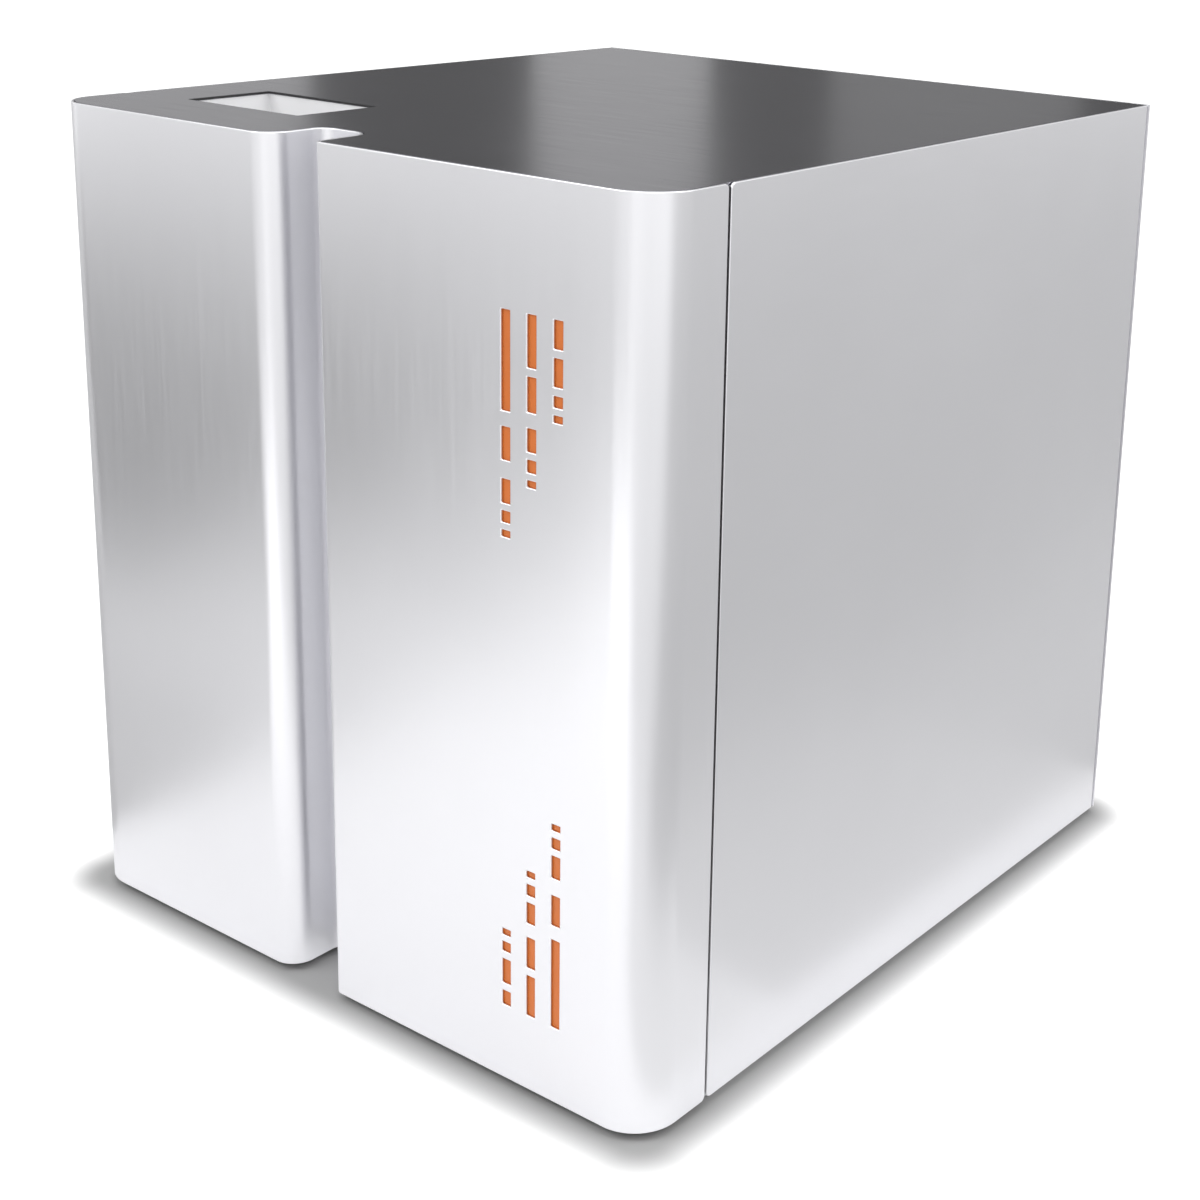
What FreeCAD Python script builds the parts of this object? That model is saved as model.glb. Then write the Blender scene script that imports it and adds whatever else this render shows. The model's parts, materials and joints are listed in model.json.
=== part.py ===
import FreeCAD, Part
import os
import re
import Sketcher

# Bench generator of three gases in one sheet-metal cabinet: nitrogen, source air and exhaust air.
# Millimetres, +Z up, front towards -Y. The origin is on the bench, under the middle of the whole.

os.makedirs("parts", exist_ok=True)
doc = FreeCAD.newDocument("trigas_generator")
sheet = doc.addObject("Spreadsheet::Sheet", "sizes")
pieces = []

sizes = {
    # Cabinet
    "case_width": 420, "case_depth": 462, "panel_height": 457, "foot_height": 4, "sheet_thick": 1.5,
    "fit_gap": 0.3, "cover_gap": 0.4, "moving_gap": 0.3, "shadow_gap": 1.8, "cut_over": 1,
    # Fascia: one bent sheet that wraps both front corners, with a finger groove down its whole height
    "fascia_wrap": 48.6, "corner_radius": 25, "panel_corner": 3, "groove_offset": 174, "groove_width": 33,
    "groove_slant": 2, "groove_depth": 36.5, "groove_lip_radius": 14, "groove_root_radius": 9,
    "groove_edge_radius": 4.5,
    # Slots in the fascia: three columns, each a run of slots that grow shorter
    "slot_width": 5.5, "slot_pitch": 16, "slot_from_side": 72, "slot_foot": 37, "slot_from_top": 66.6,
    "tall_first": 47.5, "tall_second": 16, "tall_third": 11.8, "tall_fourth": 5.7, "slot_last": 3.4,
    "upper_middle_first": 24.7, "lower_middle_first": 22, "middle_second": 16.6, "middle_third": 11.2,
    "middle_fourth": 6.1, "upper_short_first": 13.3, "lower_short_first": 7.8, "short_second": 13.3,
    "short_third": 5.3, "gap_wide": 9.1, "gap_medium": 7.6, "gap_narrow": 4.2, "gap_last": 3.7,
    "backing_thick": 1, "backing_border": 7,
    # Fascia studs and the catches that hold them
    "stud_from_side": 40, "stud_low": 42, "stud_from_top": 43, "stud_radius": 4, "stud_neck_radius": 2.6,
    "stud_neck_length": 4, "catch_width": 17, "catch_depth": 10,
    # Control well in the top
    "well_length": 89, "well_width": 57.5, "well_from_side": 44.6, "well_from_front": 54, "well_depth": 45,
    "well_corner": 2, "display_length": 50, "display_width": 30, "display_height": 6, "window_border": 4,
    "window_thick": 1, "button_radius": 6, "button_rise": 3, "button_stem": 9, "button_travel": 2,
    "bezel_wall": 3, "bezel_rise": 1, "display_shift": 14, "button_shift": 30, "bezel_floor": 2,
    "button_round": 0.8,
    # Panels and frames
    "rear_flange": 12, "bend_radius": 3, "pan_lip": 20, "rail_width": 12, "bay_window_left": -8,
    "bay_window_low": 62, "bay_window_from_top": 19, "left_window_from_side": 20, "left_window_to": -52,
    "left_window_low": 62, "left_window_from_top": 71,
    # Feet and screws
    "foot_radius": 12, "foot_top_radius": 11, "foot_inset": 38, "foot_recess_radius": 5,
    "foot_recess_depth": 2.2, "screw_radius": 2, "screw_head_radius": 3.5, "screw_head": 2,
    "screw_round": 1, "screw_length": 8, "panel_screw_low": 60, "panel_screw_from_top": 82,
    # Air treatment: plate, filters, regulators, gauges
    "bay_depth": 86, "plate_thick": 2, "plate_left": -10, "plate_from_side": 10, "plate_from_top": 15,
    "plate_foot": 15, "column_first": 20, "column_pitch": 54, "head_drop": 73, "head_height": 34,
    "head_depth": 50, "head_end": 28, "bowl_radius": 23, "bowl_wall": 2.5, "bowl_length": 106,
    "bowl_round": 8, "bowl_collar": 2.2, "bowl_collar_height": 9, "drain_radius": 5, "drain_length": 10,
    "spigot_length": 10, "seal_height": 2.4, "element_radius": 14, "element_length": 72, "element_cap": 17,
    "element_cap_height": 4, "bowl_axis": 26, "spigot_gap": 1, "bowl_shoulder": 1, "regulator_drop": 61,
    "regulator_radius": 17, "regulator_length": 34, "bonnet_radius": 14, "bonnet_length": 8,
    "spindle_radius": 3, "spindle_length": 16, "knob_radius": 17, "knob_length": 20, "knob_round": 1.5,
    "knob_flute_radius": 2.2, "running_gap": 0.05, "gauge_from_top": 65, "gauge_radius": 21,
    "gauge_wall": 2, "gauge_depth": 20, "gauge_stem": 12, "gauge_stem_radius": 5, "dial_thick": 0.8,
    "lens_thick": 1.5, "needle_reach": 14, "needle_width": 1.2, "needle_thick": 0.6,
    "needle_hub_radius": 2.2, "needle_pin_radius": 0.8, "needle_lift": 3, "needle_tail": 4.5,
    "needle_clear": 1, "lens_inset": 1, "lens_gap": 0.1,
    # Gas separation: two membranes, a dryer and a receiver
    "module_from_side": 45, "module_first": 112, "module_pitch": 70, "module_low": 45,
    "module_from_top": 66, "module_radius": 27, "cap_radius": 29, "cap_height": 26, "cap_round": 3,
    "dryer_radius": 20, "dryer_pitch": 65, "dryer_cap_rim": 2, "bracket_from_top": 50.5,
    "bracket_front": 75, "bracket_length": 220, "clamp_height": 14, "clamp_low": 110,
    "clamp_from_top": 161, "clamp_bore_gap": 0.2, "clamp_wall": 4, "tank_radius": 50, "tank_low": 36,
    "tank_from_top": 131, "tank_round": 30, "tank_shoulder": 18, "tank_side": -75, "tank_from_back": 88,
    "ring_wall": 3, "boss_radius": 9, "boss_height": 8,
    # Valves and tubes
    "valve_left": 10, "valve_length": 120, "valve_drop": 62, "valve_height": 30, "valve_depth": 30,
    "coil_width": 24, "coil_height": 34, "coil_pitch": 36, "coil_inset": 12, "coil_step": 2,
    "armature_height": 4, "tube_radius": 3, "tube_bend": 12, "collar_radius": 5.5, "collar_length": 9,
    "lane_gap": 14, "loop_rise": 23, "air_in_turn": 194, "head_port_edge": 8, "head_port_forward": 12,
    "head_port_backward": 18, "valve_tube_side": 34, "tank_port_lift": 10, "tank_loop_rise": 32,
    "dryer_loop_rise": 20, "dryer_lane": 40, "vent_seat": 6, "outlet_turn": 224, "outlet_turn_pitch": 25,
    # Electrics
    "supply_from_side": 20, "supply_width": 100, "supply_depth": 105, "supply_height": 45,
    "supply_from_back": 45, "supply_slot_first": 12, "supply_slot_pitch": 14, "supply_slot_edge": 15,
    "supply_slot_width": 4, "supply_slot_deep": 1, "board_left": -12, "board_width": 90,
    "board_depth": 120, "board_thick": 1.6, "board_height": 16, "board_from_frame": 124,
    "standoff_radius": 3, "board_edge": 6, "relay_first": 12, "relay_pitch": 20, "relay_front": 84,
    "relay_width": 14, "relay_depth": 26, "relay_height": 16, "chip_left": 20, "chip_front": 30,
    "chip_side": 30, "chip_height": 3, "strip_inset": 12, "strip_front": 40, "strip_width": 10,
    "strip_length": 50, "strip_height": 12, "can_left": 66, "can_front": 14, "can_pitch": 16,
    "can_radius": 6, "can_height": 20, "plug_inset": 2, "loom_inset": 30, "loom_front": 65, "loom_lift": 6,
    "fan_wire_drop": 120, "fan_wire_reach": 50, "fan_side": 80, "fan_depth": 25, "fan_from_side": 90,
    "fan_from_top": 131, "fan_bore": 37.5, "fan_hub": 15, "blade_tip": 36, "blade_width": 20,
    "blade_thick": 1.6, "blade_angle": 38, "fan_pin": 2, "strut_width": 4, "strut_thick": 2,
    "pin_short": 4, "hub_gap": 0.5, "hub_short": 5, "blade_root": 3, "fan_screw_pitch": 71.5,
    "slot_ring_inner": 12, "slot_ring_step": 8.5, "slot_ring_width": 5, "web_width": 5,
    # Rear connections
    "port_reach": 12, "port_flange_radius": 9, "port_body_radius": 6.5, "port_inside": 18,
    "port_bore": 3.1, "port_bore_depth": 15, "port_passage": 2, "port_round": 2, "nut_gap": 0.1,
    "vent_round": 3, "nut_radius": 9.5, "nut_thick": 4, "outlet_from_top": 221, "port_first": 20,
    "port_pitch": 26, "air_in_height": 100, "vent_radius": 7, "inlet_from_side": 60, "inlet_low": 34,
    "inlet_width": 28, "inlet_height": 40, "inlet_depth": 24, "inlet_flange": 4, "inlet_flange_thick": 2,
    "socket_lift": 4, "pin_offset": 2, "socket_width": 22, "socket_height": 16, "socket_depth": 14,
    "blade_pin_width": 4, "blade_pin_thick": 2, "blade_pin_length": 9, "pin_pitch": 7, "drawer_width": 20,
    "drawer_height": 9, "drawer_length": 18, "drawer_low": 61, "drawer_grip": 3, "grip_thick": 1.2,
    "drawer_wall": 2, "drawer_front": 3, "switch_from_side": 106, "switch_height": 54,
    "switch_width": 19.6, "switch_length": 27.6, "switch_depth": 20, "switch_flange": 2.2,
    "switch_flange_thick": 1.5, "switch_recess_width": 15.4, "switch_recess_length": 24,
    "switch_recess_depth": 12, "rocker_width": 14.6, "rocker_half": 10.3, "rocker_face": 2.5,
    "rocker_dip": 1.2, "rocker_tilt": 8, "rocker_back": 5, "rocker_waist": 4, "rocker_pin": 1.5,
    "rocker_pivot": 3,
}

for row, (alias, number) in enumerate(sizes.items(), 1):
    sheet.set("A%d" % row, alias)
    sheet.set("B%d" % row, str(number))
    sheet.setAlias("B%d" % row, alias)
doc.recompute()

# Places that follow from the sizes, measured from the top or from a side of the cabinet: names for formulas
places = {
    "case_top": "foot_height + panel_height",
    "slot_middle": "case_width - slot_from_side",
    "slot_head": "panel_height - slot_from_top",
    "stud_reach": "case_width / 2 - stud_from_side",
    "stud_high": "panel_height - stud_from_top",
    "bay_window_right": "column_first + 2 * column_pitch + head_end",
    "bay_window_high": "case_top - bay_window_from_top",
    "left_window_from": "left_window_from_side - case_width / 2",
    "left_window_high": "case_top - left_window_from_top",
    "panel_screw_pitch": "(panel_height - panel_screw_low - panel_screw_from_top) / 3",
    "plate_right": "case_width / 2 - plate_from_side",
    "plate_top": "case_top - plate_from_top",
    "gauge_height": "case_top - gauge_from_top",
    "regulator_height": "gauge_height - regulator_drop",
    "head_low": "regulator_height - head_drop",
    "valve_low": "head_low - valve_drop",
    "module_length": "case_top - module_from_top - module_low",
    "bracket_height": "case_top - bracket_from_top - foot_height - sheet_thick",
    "clamp_high": "case_top - clamp_from_top",
    "tank_length": "case_top - tank_from_top - tank_low",
    "supply_left": "case_width / 2 - supply_from_side - supply_width",
    "fan_across": "case_width / 2 - fan_from_side",
    "fan_height": "case_top - fan_from_top",
    "outlet_height": "case_top - outlet_from_top",
    "inlet_across": "case_width / 2 - inlet_from_side",
    "switch_across": "case_width / 2 - switch_from_side",
}

# How near a spot must be to an edge's middle for that edge to be rounded
near = 0.01
# How many flutes a knob has and how many blades the fan has
flute_count = 9
blade_count = 7

half = "case_width / 2"
inner = "(case_width / 2 - sheet_thick)"
front = "(-(case_depth + port_reach) / 2)"
back = "(case_depth / 2 - port_reach / 2)"
low = "foot_height"
top = "case_top"
frame_front = "(" + front + " + fascia_wrap + shadow_gap)"
frame_back = "(" + frame_front + " + sheet_thick)"
inside_back = "(" + back + " - 2 * sheet_thick - fit_gap)"
flange_clear = "(" + inside_back + " - bend_radius)"
deck = "(foot_height + sheet_thick)"
plate_front = "(" + frame_front + " + bay_depth)"
plate_back = "(" + plate_front + " + plate_thick)"
groove_left = "(-case_width / 2 + groove_offset)"
cover_low = "(" + top + " - sheet_thick)"
module_x = "(-case_width / 2 + module_from_side)"


def spelled(text):
    """A formula with each place in it written out, so that only sizes are left."""
    words = re.compile(r"[a-z][a-z_]*")
    text = str(text)
    while any(word in places for word in words.findall(text)):
        text = words.sub(lambda word: "(" + places[word[0]] + ")" if word[0] in places else word[0], text)
    return text


def link(text):
    """Prefix each size in a formula with the sheet's name, as an object's expression needs."""
    return re.sub(r"[a-z][a-z_]*", lambda word: "sizes." + word[0] if word[0] in sizes else word[0],
                  spelled(text))


def value(text):
    """The number that a formula of sizes gives now."""
    return float(sheet.evalExpression(spelled(text)))


def bind(thing, **formulas):
    for name, text in formulas.items():
        thing.setExpression(name, link(text))


def place(thing, at):
    for letter, text in zip("xyz", at):
        thing.setExpression("Placement.Base." + letter, link(text))


turns = {
    "z": FreeCAD.Rotation(),
    "y": FreeCAD.Rotation(FreeCAD.Vector(1, 0, 0), -90),
    "-y": FreeCAD.Rotation(FreeCAD.Vector(1, 0, 0), 90),
    "x": FreeCAD.Rotation(FreeCAD.Vector(0, 1, 0), 90),
    "-z": FreeCAD.Rotation(FreeCAD.Vector(1, 0, 0), 180),
}


def box(at, length, width, height):
    thing = doc.addObject("Part::Box", "block")
    bind(thing, Length=length, Width=width, Height=height)
    place(thing, at)
    return thing


def rod(at, radius, length, along="z"):
    thing = doc.addObject("Part::Cylinder", "rod")
    thing.Placement.Rotation = turns[along]
    bind(thing, Radius=radius, Height=length)
    place(thing, at)
    return thing


def fuse(*things):
    thing = doc.addObject("Part::MultiFuse", "union")
    thing.Shapes = list(things)
    thing.Refine = True
    return thing


def group(*things):
    thing = doc.addObject("Part::Compound", "set")
    thing.Links = list(things)
    return thing


def cut(base, *tools):
    thing = doc.addObject("Part::Cut", "cut")
    thing.Base = base
    thing.Tool = tools[0] if len(tools) == 1 else fuse(*tools)
    return thing


def node(label, thing):
    """Name a finished piece: the label is its file's name."""
    thing.Label = label
    pieces.append(thing)
    return thing


def new_body(name, at=None, along="z"):
    body = doc.addObject("PartDesign::Body", name)
    body.Placement.Rotation = turns[along]
    if at:
        place(body, at)
    return body


def sketch(body, plane, offset="0"):
    drawing = body.newObject("Sketcher::SketchObject", "profile")
    support = [axis for axis in body.Origin.OriginFeatures if axis.Role == plane + "_Plane"][0]
    drawing.AttachmentSupport = (support, [""])
    drawing.MapMode = "FlatFace"
    drawing.setExpression("AttachmentOffset.Base.z", link(offset))
    return drawing


def outline(body, plane, corners, offset="0"):
    """A closed straight outline whose corners are pairs of formulas."""
    drawing = sketch(body, plane, offset)
    points = [FreeCAD.Vector(value(x), value(y), 0) for x, y in corners]
    count = len(points)
    for index in range(count):
        drawing.addGeometry(Part.LineSegment(points[index], points[(index + 1) % count]), False)
    for index in range(count):
        drawing.addConstraint(Sketcher.Constraint("Coincident", index, 2, (index + 1) % count, 1))
    for index, (x, y) in enumerate(corners):
        for kind, axis, text, number in (("DistanceX", -2, x, points[index].x),
                                         ("DistanceY", -1, y, points[index].y)):
            if str(text) == "0":
                drawing.addConstraint(Sketcher.Constraint("PointOnObject", index, 1, axis))
            else:
                item = drawing.addConstraint(Sketcher.Constraint(kind, -1, 1, index, 1, number))
                drawing.setExpression("Constraints[%d]" % item, link(text))
    return drawing


def pad(body, drawing, length):
    feature = body.newObject("PartDesign::Pad", "pad")
    feature.Profile = drawing
    bind(feature, Length=length)
    return feature


def pocket(body, drawing):
    feature = body.newObject("PartDesign::Pocket", "pocket")
    feature.Profile = drawing
    feature.Type = 1
    feature.Midplane = True
    return feature


def round_edges(body, spots, radius, along):
    """Round the straight edges that run along one axis through the given spots."""
    doc.recompute()
    base = body.Tip
    spans = {"x": (1, 2), "y": (0, 2), "z": (0, 1)}[along]
    names = []
    for index, edge in enumerate(base.Shape.Edges):
        middle = edge.CenterOfMass
        for spot in spots:
            apart = [middle[axis] - value(text) for axis, text in zip(spans, spot)]
            flat = max(abs(edge.Vertexes[0].Point[axis] - edge.Vertexes[-1].Point[axis]) for axis in spans)
            if max(abs(step) for step in apart) < near and flat < near:
                names.append("Edge%d" % (index + 1))
    feature = body.newObject("PartDesign::Fillet", "fillet")
    feature.Base = (base, names)
    bind(feature, Radius=radius)
    return feature


def turned(name, profile, at, along="z"):
    """A turned piece: its profile's corners are (radius, height) from its own foot."""
    body = new_body(name, at, along)
    drawing = outline(body, "XZ", profile)
    feature = body.newObject("PartDesign::Revolution", "revolution")
    feature.Profile = drawing
    feature.ReferenceAxis = (drawing, ["V_Axis"])
    feature.Angle = 360
    return body


def wrapped_prism(name, inset, depth_end, foot, height):
    """The cabinet's plan at the front: two round corners and the finger groove, drawn in by an inset."""
    body = new_body(name)
    left = "(-case_width / 2 + " + inset + ")"
    right = "(case_width / 2 - " + inset + ")"
    face = "(" + front + " + " + inset + ")"
    plan = outline(body, "XY", [(left, face), (right, face), (right, depth_end), (left, depth_end)], foot)
    pad(body, plan, height)
    wall_left = "(" + groove_left + " - " + inset + ")"
    mouth_right = "(" + groove_left + " + groove_width + " + inset + ")"
    root_right = "(" + mouth_right + " - groove_slant)"
    root = "(" + front + " + groove_depth + " + inset + ")"
    groove = outline(body, "XY", [(wall_left, face), (mouth_right, face), (root_right, root),
                                  (wall_left, root)], foot)
    pocket(body, groove)
    round_edges(body, [(left, face), (right, face)], "corner_radius - " + inset, "z")
    round_edges(body, [(wall_left, face)], "groove_lip_radius - " + inset, "z")
    round_edges(body, [(wall_left, root), (root_right, root)], "groove_root_radius + " + inset, "z")
    round_edges(body, [(mouth_right, face)], "groove_edge_radius - " + inset, "z")
    doc.recompute()
    return body


# Fascia
def slot_run(column, start, upward, lengths, gaps):
    """Slots of one column from its outer end inwards, as cutting blocks."""
    across = "(-case_width / 2 + slot_middle + " + str(column) + " * slot_pitch - slot_width / 2)"
    sign = " + " if upward else " - "
    blocks = []
    reach = start
    for index, length in enumerate(lengths):
        foot = reach if upward else "(" + reach + " - " + length + ")"
        blocks.append(box((across, front + " - cut_over", foot), "slot_width",
                          "sheet_thick + 2 * cut_over", length))
        if index < len(gaps):
            reach = "(" + reach + sign + length + sign + gaps[index] + ")"
    return blocks


def make_fascia():
    shell = wrapped_prism("fascia_sheet", "0", "(" + front + " + fascia_wrap)", low, "panel_height")
    corner = "(" + front + " + fascia_wrap)"
    round_edges(shell, [(corner, low), (corner, top)], "panel_corner", "x")
    core = wrapped_prism("fascia_core", "sheet_thick", corner + " + cut_over", low + " - cut_over",
                         "panel_height + 2 * cut_over")
    tall = ["tall_first", "tall_second", "tall_third", "tall_fourth", "slot_last"]
    tall_gaps = ["gap_medium", "gap_wide", "gap_last", "gap_last"]
    middle = ["middle_second", "middle_third", "middle_fourth", "slot_last"]
    middle_gaps = ["gap_narrow", "gap_medium", "gap_last", "gap_last"]
    short = ["short_second", "short_third", "slot_last"]
    short_gaps = ["gap_narrow", "gap_narrow", "gap_last"]
    head = "(foot_height + slot_head + gap_narrow)"
    foot = "(foot_height + slot_foot + gap_narrow)"
    slots = slot_run(-1, head, False, tall, tall_gaps)
    slots += slot_run(0, head, False, ["upper_middle_first"] + middle, middle_gaps)
    slots += slot_run(1, head, False, ["upper_short_first"] + short, short_gaps)
    slots += slot_run(-1, foot, True, ["lower_short_first"] + short, short_gaps)
    slots += slot_run(0, foot, True, ["lower_middle_first"] + middle, middle_gaps)
    slots += slot_run(1, foot, True, tall, tall_gaps)
    node("front_fascia", cut(shell, core, *slots))
    reach = "(2 * slot_pitch + slot_width + 2 * backing_border)"
    side = "(-case_width / 2 + slot_middle - slot_pitch - slot_width / 2 - backing_border)"
    tall_side = "(slot_head - slot_foot + 2 * backing_border)"
    sheet_at = (side, front + " + sheet_thick", foot + " - backing_border")
    node("slot_backing", box(sheet_at, reach, "backing_thick", tall_side))


def stud_spots():
    return [(side + "stud_reach", "(foot_height + " + height + ")") for side in ("-", "")
            for height in ("stud_low", "stud_high")]


def make_studs():
    """Ball studs on the back of the fascia, and the catches on the frame that hold their balls."""
    studs = []
    catches = []
    shank = "(fascia_wrap + shadow_gap - sheet_thick - catch_depth - stud_neck_length)"
    for across, height in stud_spots():
        start = "(" + front + " + sheet_thick)"
        neck = "(" + start + " + " + shank + ")"
        ball_at = "(" + frame_front + " - catch_depth / 2)"
        ball = doc.addObject("Part::Sphere", "ball")
        bind(ball, Radius="stud_radius")
        place(ball, (across, ball_at, height))
        stem = rod((across, start, height), "stud_radius", shank, "y")
        waist = rod((across, neck, height), "stud_neck_radius", ball_at + " - " + neck, "y")
        studs.append(fuse(stem, waist, ball))
        corner = (across + " - catch_width / 2", frame_front + " - catch_depth",
                  height + " - catch_width / 2")
        block = box(corner, "catch_width", "catch_depth", "catch_width")
        bore = rod((across, frame_front + " - catch_depth - cut_over", height), "stud_radius + moving_gap",
                   "catch_depth + cut_over", "y")
        catches.append(cut(block, bore))
    node("fascia_studs", group(*studs))
    node("fascia_catches", group(*catches))


# Cabinet
def make_base():
    width = "(2 * (" + inner + " - fit_gap))"
    depth = "(" + flange_clear + " - " + frame_back + ")"
    corner = ("-(" + inner + " - fit_gap)", frame_back, low)
    tray = box(corner, width, depth, "pan_lip")
    inside = (corner[0] + " + sheet_thick", frame_back + " + sheet_thick", deck)
    hollow = box(inside, width + " - 2 * sheet_thick", depth + " - 2 * sheet_thick", "pan_lip")
    pan = cut(tray, hollow)
    posts = [pan]
    for across in ("board_left + board_edge", "board_left + board_width - board_edge"):
        for along in ("board_edge", "board_depth - board_edge"):
            spot = (across, frame_front + " + board_from_frame + " + along, low)
            posts.append(rod(spot, "standoff_radius", "board_height + sheet_thick"))
    holes = [rod((x, y, low + " - cut_over"), "screw_radius + fit_gap", "sheet_thick + 2 * cut_over")
             for x, y in foot_spots()]
    node("base_pan", cut(fuse(*posts), *holes))


def foot_spots():
    ends = (frame_front + " + foot_inset", back + " - foot_inset")
    return [(side + "(case_width / 2 - foot_inset)", end) for side in ("-", "") for end in ends]


def make_feet():
    feet = []
    profile = [("screw_radius + fit_gap", "foot_recess_depth"), ("foot_recess_radius", "foot_recess_depth")]
    profile += [("foot_recess_radius", "0"), ("foot_top_radius", "0"), ("foot_radius", "foot_height")]
    profile += [("screw_radius + fit_gap", "foot_height")]
    for x, y in foot_spots():
        feet.append(turned("foot", profile, (x, y, "0")))
    node("rubber_feet", group(*feet))


def screw(at, along="z", length="screw_length"):
    """A pan-head screw: the head's flat lies at the given spot and the shank runs along the axis."""
    profile = [("0", "-screw_head"), ("screw_head_radius - screw_round", "-screw_head")]
    profile += [("screw_head_radius", "screw_round - screw_head"), ("screw_head_radius", "0")]
    profile += [("screw_radius", "0"), ("screw_radius", length), ("0", length)]
    return turned("screw", profile, at, along)


def side_panel(label, side):
    """A flat side with one flange turned in at the back, under the rear panel."""
    body = new_body(label)
    edge = back + " - sheet_thick"
    plan = [(side + half, frame_front), (side + half, edge),
            (side + "(case_width / 2 - rear_flange)", edge)]
    plan += [(side + "(case_width / 2 - rear_flange)", edge + " - sheet_thick")]
    plan += [(side + inner, edge + " - sheet_thick"), (side + inner, frame_front)]
    pad(body, outline(body, "XY", plan, low), "panel_height")
    round_edges(body, [(side + half, edge)], "bend_radius", "z")
    round_edges(body, [(side + inner, edge + " - sheet_thick")], "bend_radius - sheet_thick", "z")
    round_edges(body, [(frame_front, low), (frame_front, top)], "panel_corner", "x")
    node(label, body)


def make_cover():
    inset = "(sheet_thick + cover_gap)"
    cover = wrapped_prism("cover_sheet", inset, inside_back, cover_low, "sheet_thick")
    x = "(-case_width / 2 + well_from_side)"
    y = "(" + front + " + well_from_front)"
    corners = [(x, y), (x + " + well_length", y), (x + " + well_length", y + " + well_width"),
               (x, y + " + well_width")]
    pocket(cover, outline(cover, "XY", corners, cover_low))
    round_edges(cover, corners, "well_corner", "z")
    node("top_cover", cover)
    rails = []
    length = "(" + flange_clear + " - " + frame_back + ")"
    for side in ("-", ""):
        leg = "(" + inner + " - rail_width)" if side == "" else "(-" + inner + ")"
        flat = box((leg, frame_back, cover_low + " - sheet_thick"), "rail_width", length, "sheet_thick")
        wall = inner + " - sheet_thick" if side == "" else "-" + inner
        upright = box((wall, frame_back, cover_low + " - rail_width"), "sheet_thick", length, "rail_width")
        rails.append(fuse(flat, upright))
    node("cover_rails", group(*rails))


def make_front_frame():
    width = "(2 * (" + inner + " - fit_gap))"
    corner = ("-(" + inner + " - fit_gap)", frame_front, low + " + fit_gap")
    plate = box(corner, width, "sheet_thick", cover_low + " - " + low + " - fit_gap")
    start = frame_front + " - cut_over"
    through = "sheet_thick + 2 * cut_over"
    bay = box(("bay_window_left", start, "bay_window_low"),
              "bay_window_right - bay_window_left", through, "bay_window_high - bay_window_low")
    left = box(("left_window_from", start, "left_window_low"),
               "left_window_to - left_window_from", through, "left_window_high - left_window_low")
    node("front_frame", cut(plate, bay, left))


def make_rear_panel():
    sheet_back = box(("-" + half, back + " - sheet_thick", low), "case_width", "sheet_thick",
                     "panel_height")
    start = back + " - sheet_thick - cut_over"
    through = "sheet_thick + 2 * cut_over"
    tools = []
    for x, z in port_spots():
        tools.append(rod((x, start, z), "port_body_radius + fit_gap", through, "y"))
    tools.append(rod((module_x, start, "module_low + cap_height / 2"), "collar_radius + fit_gap", through,
                     "y"))
    tools.append(box(("inlet_across - inlet_width / 2 - fit_gap", start, "inlet_low - fit_gap"),
                     "inlet_width + 2 * fit_gap", through, "inlet_height + 2 * fit_gap"))
    tools.append(box(("switch_across - switch_width / 2 - fit_gap", start,
                      "switch_height - switch_length / 2 - fit_gap"),
                     "switch_width + 2 * fit_gap", through, "switch_length + 2 * fit_gap"))
    for ring in range(3):
        bore = "slot_ring_inner + " + str(ring) + " * slot_ring_step"
        outer = rod(("fan_across", start, "fan_height"), bore + " + slot_ring_width", through, "y")
        island = rod(("fan_across", start, "fan_height"), bore, through, "y")
        reach = "2 * fan_side"
        upright = box(("fan_across - web_width / 2", start, "fan_height - fan_side"), "web_width",
                      through, reach)
        level = box(("fan_across - fan_side", start, "fan_height - web_width / 2"), reach, through,
                    "web_width")
        tools.append(cut(outer, island, upright, level))
    for x, z in fan_screw_spots() + panel_screw_spots():
        tools.append(rod((x, start, z), "screw_radius + fit_gap", through, "y"))
    node("rear_panel", cut(sheet_back, *tools))


def port_spots():
    spots = [("port_first + " + str(index) + " * port_pitch", "outlet_height") for index in range(3)]
    return spots + [("port_first", "air_in_height")]


def fan_screw_spots():
    reach = "fan_screw_pitch / 2"
    return [("fan_across" + a + reach, "fan_height" + b + reach) for a in (" - ", " + ")
            for b in (" - ", " + ")]


def panel_screw_spots():
    heights = ["foot_height + panel_screw_low + " + str(step) + " * panel_screw_pitch" for step in range(4)]
    return [(side + "(case_width / 2 - rear_flange / 2 - sheet_thick)", z) for side in ("-", "")
            for z in heights]


def make_screws():
    screws = [screw((x, back, z), "-y") for x, z in fan_screw_spots()]
    for x, z in panel_screw_spots():
        screws.append(screw((x, back, z), "-y", "sheet_thick"))
    screws += [screw((x, y, "foot_recess_depth")) for x, y in foot_spots()]
    node("panel_screws", group(*screws))


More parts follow.
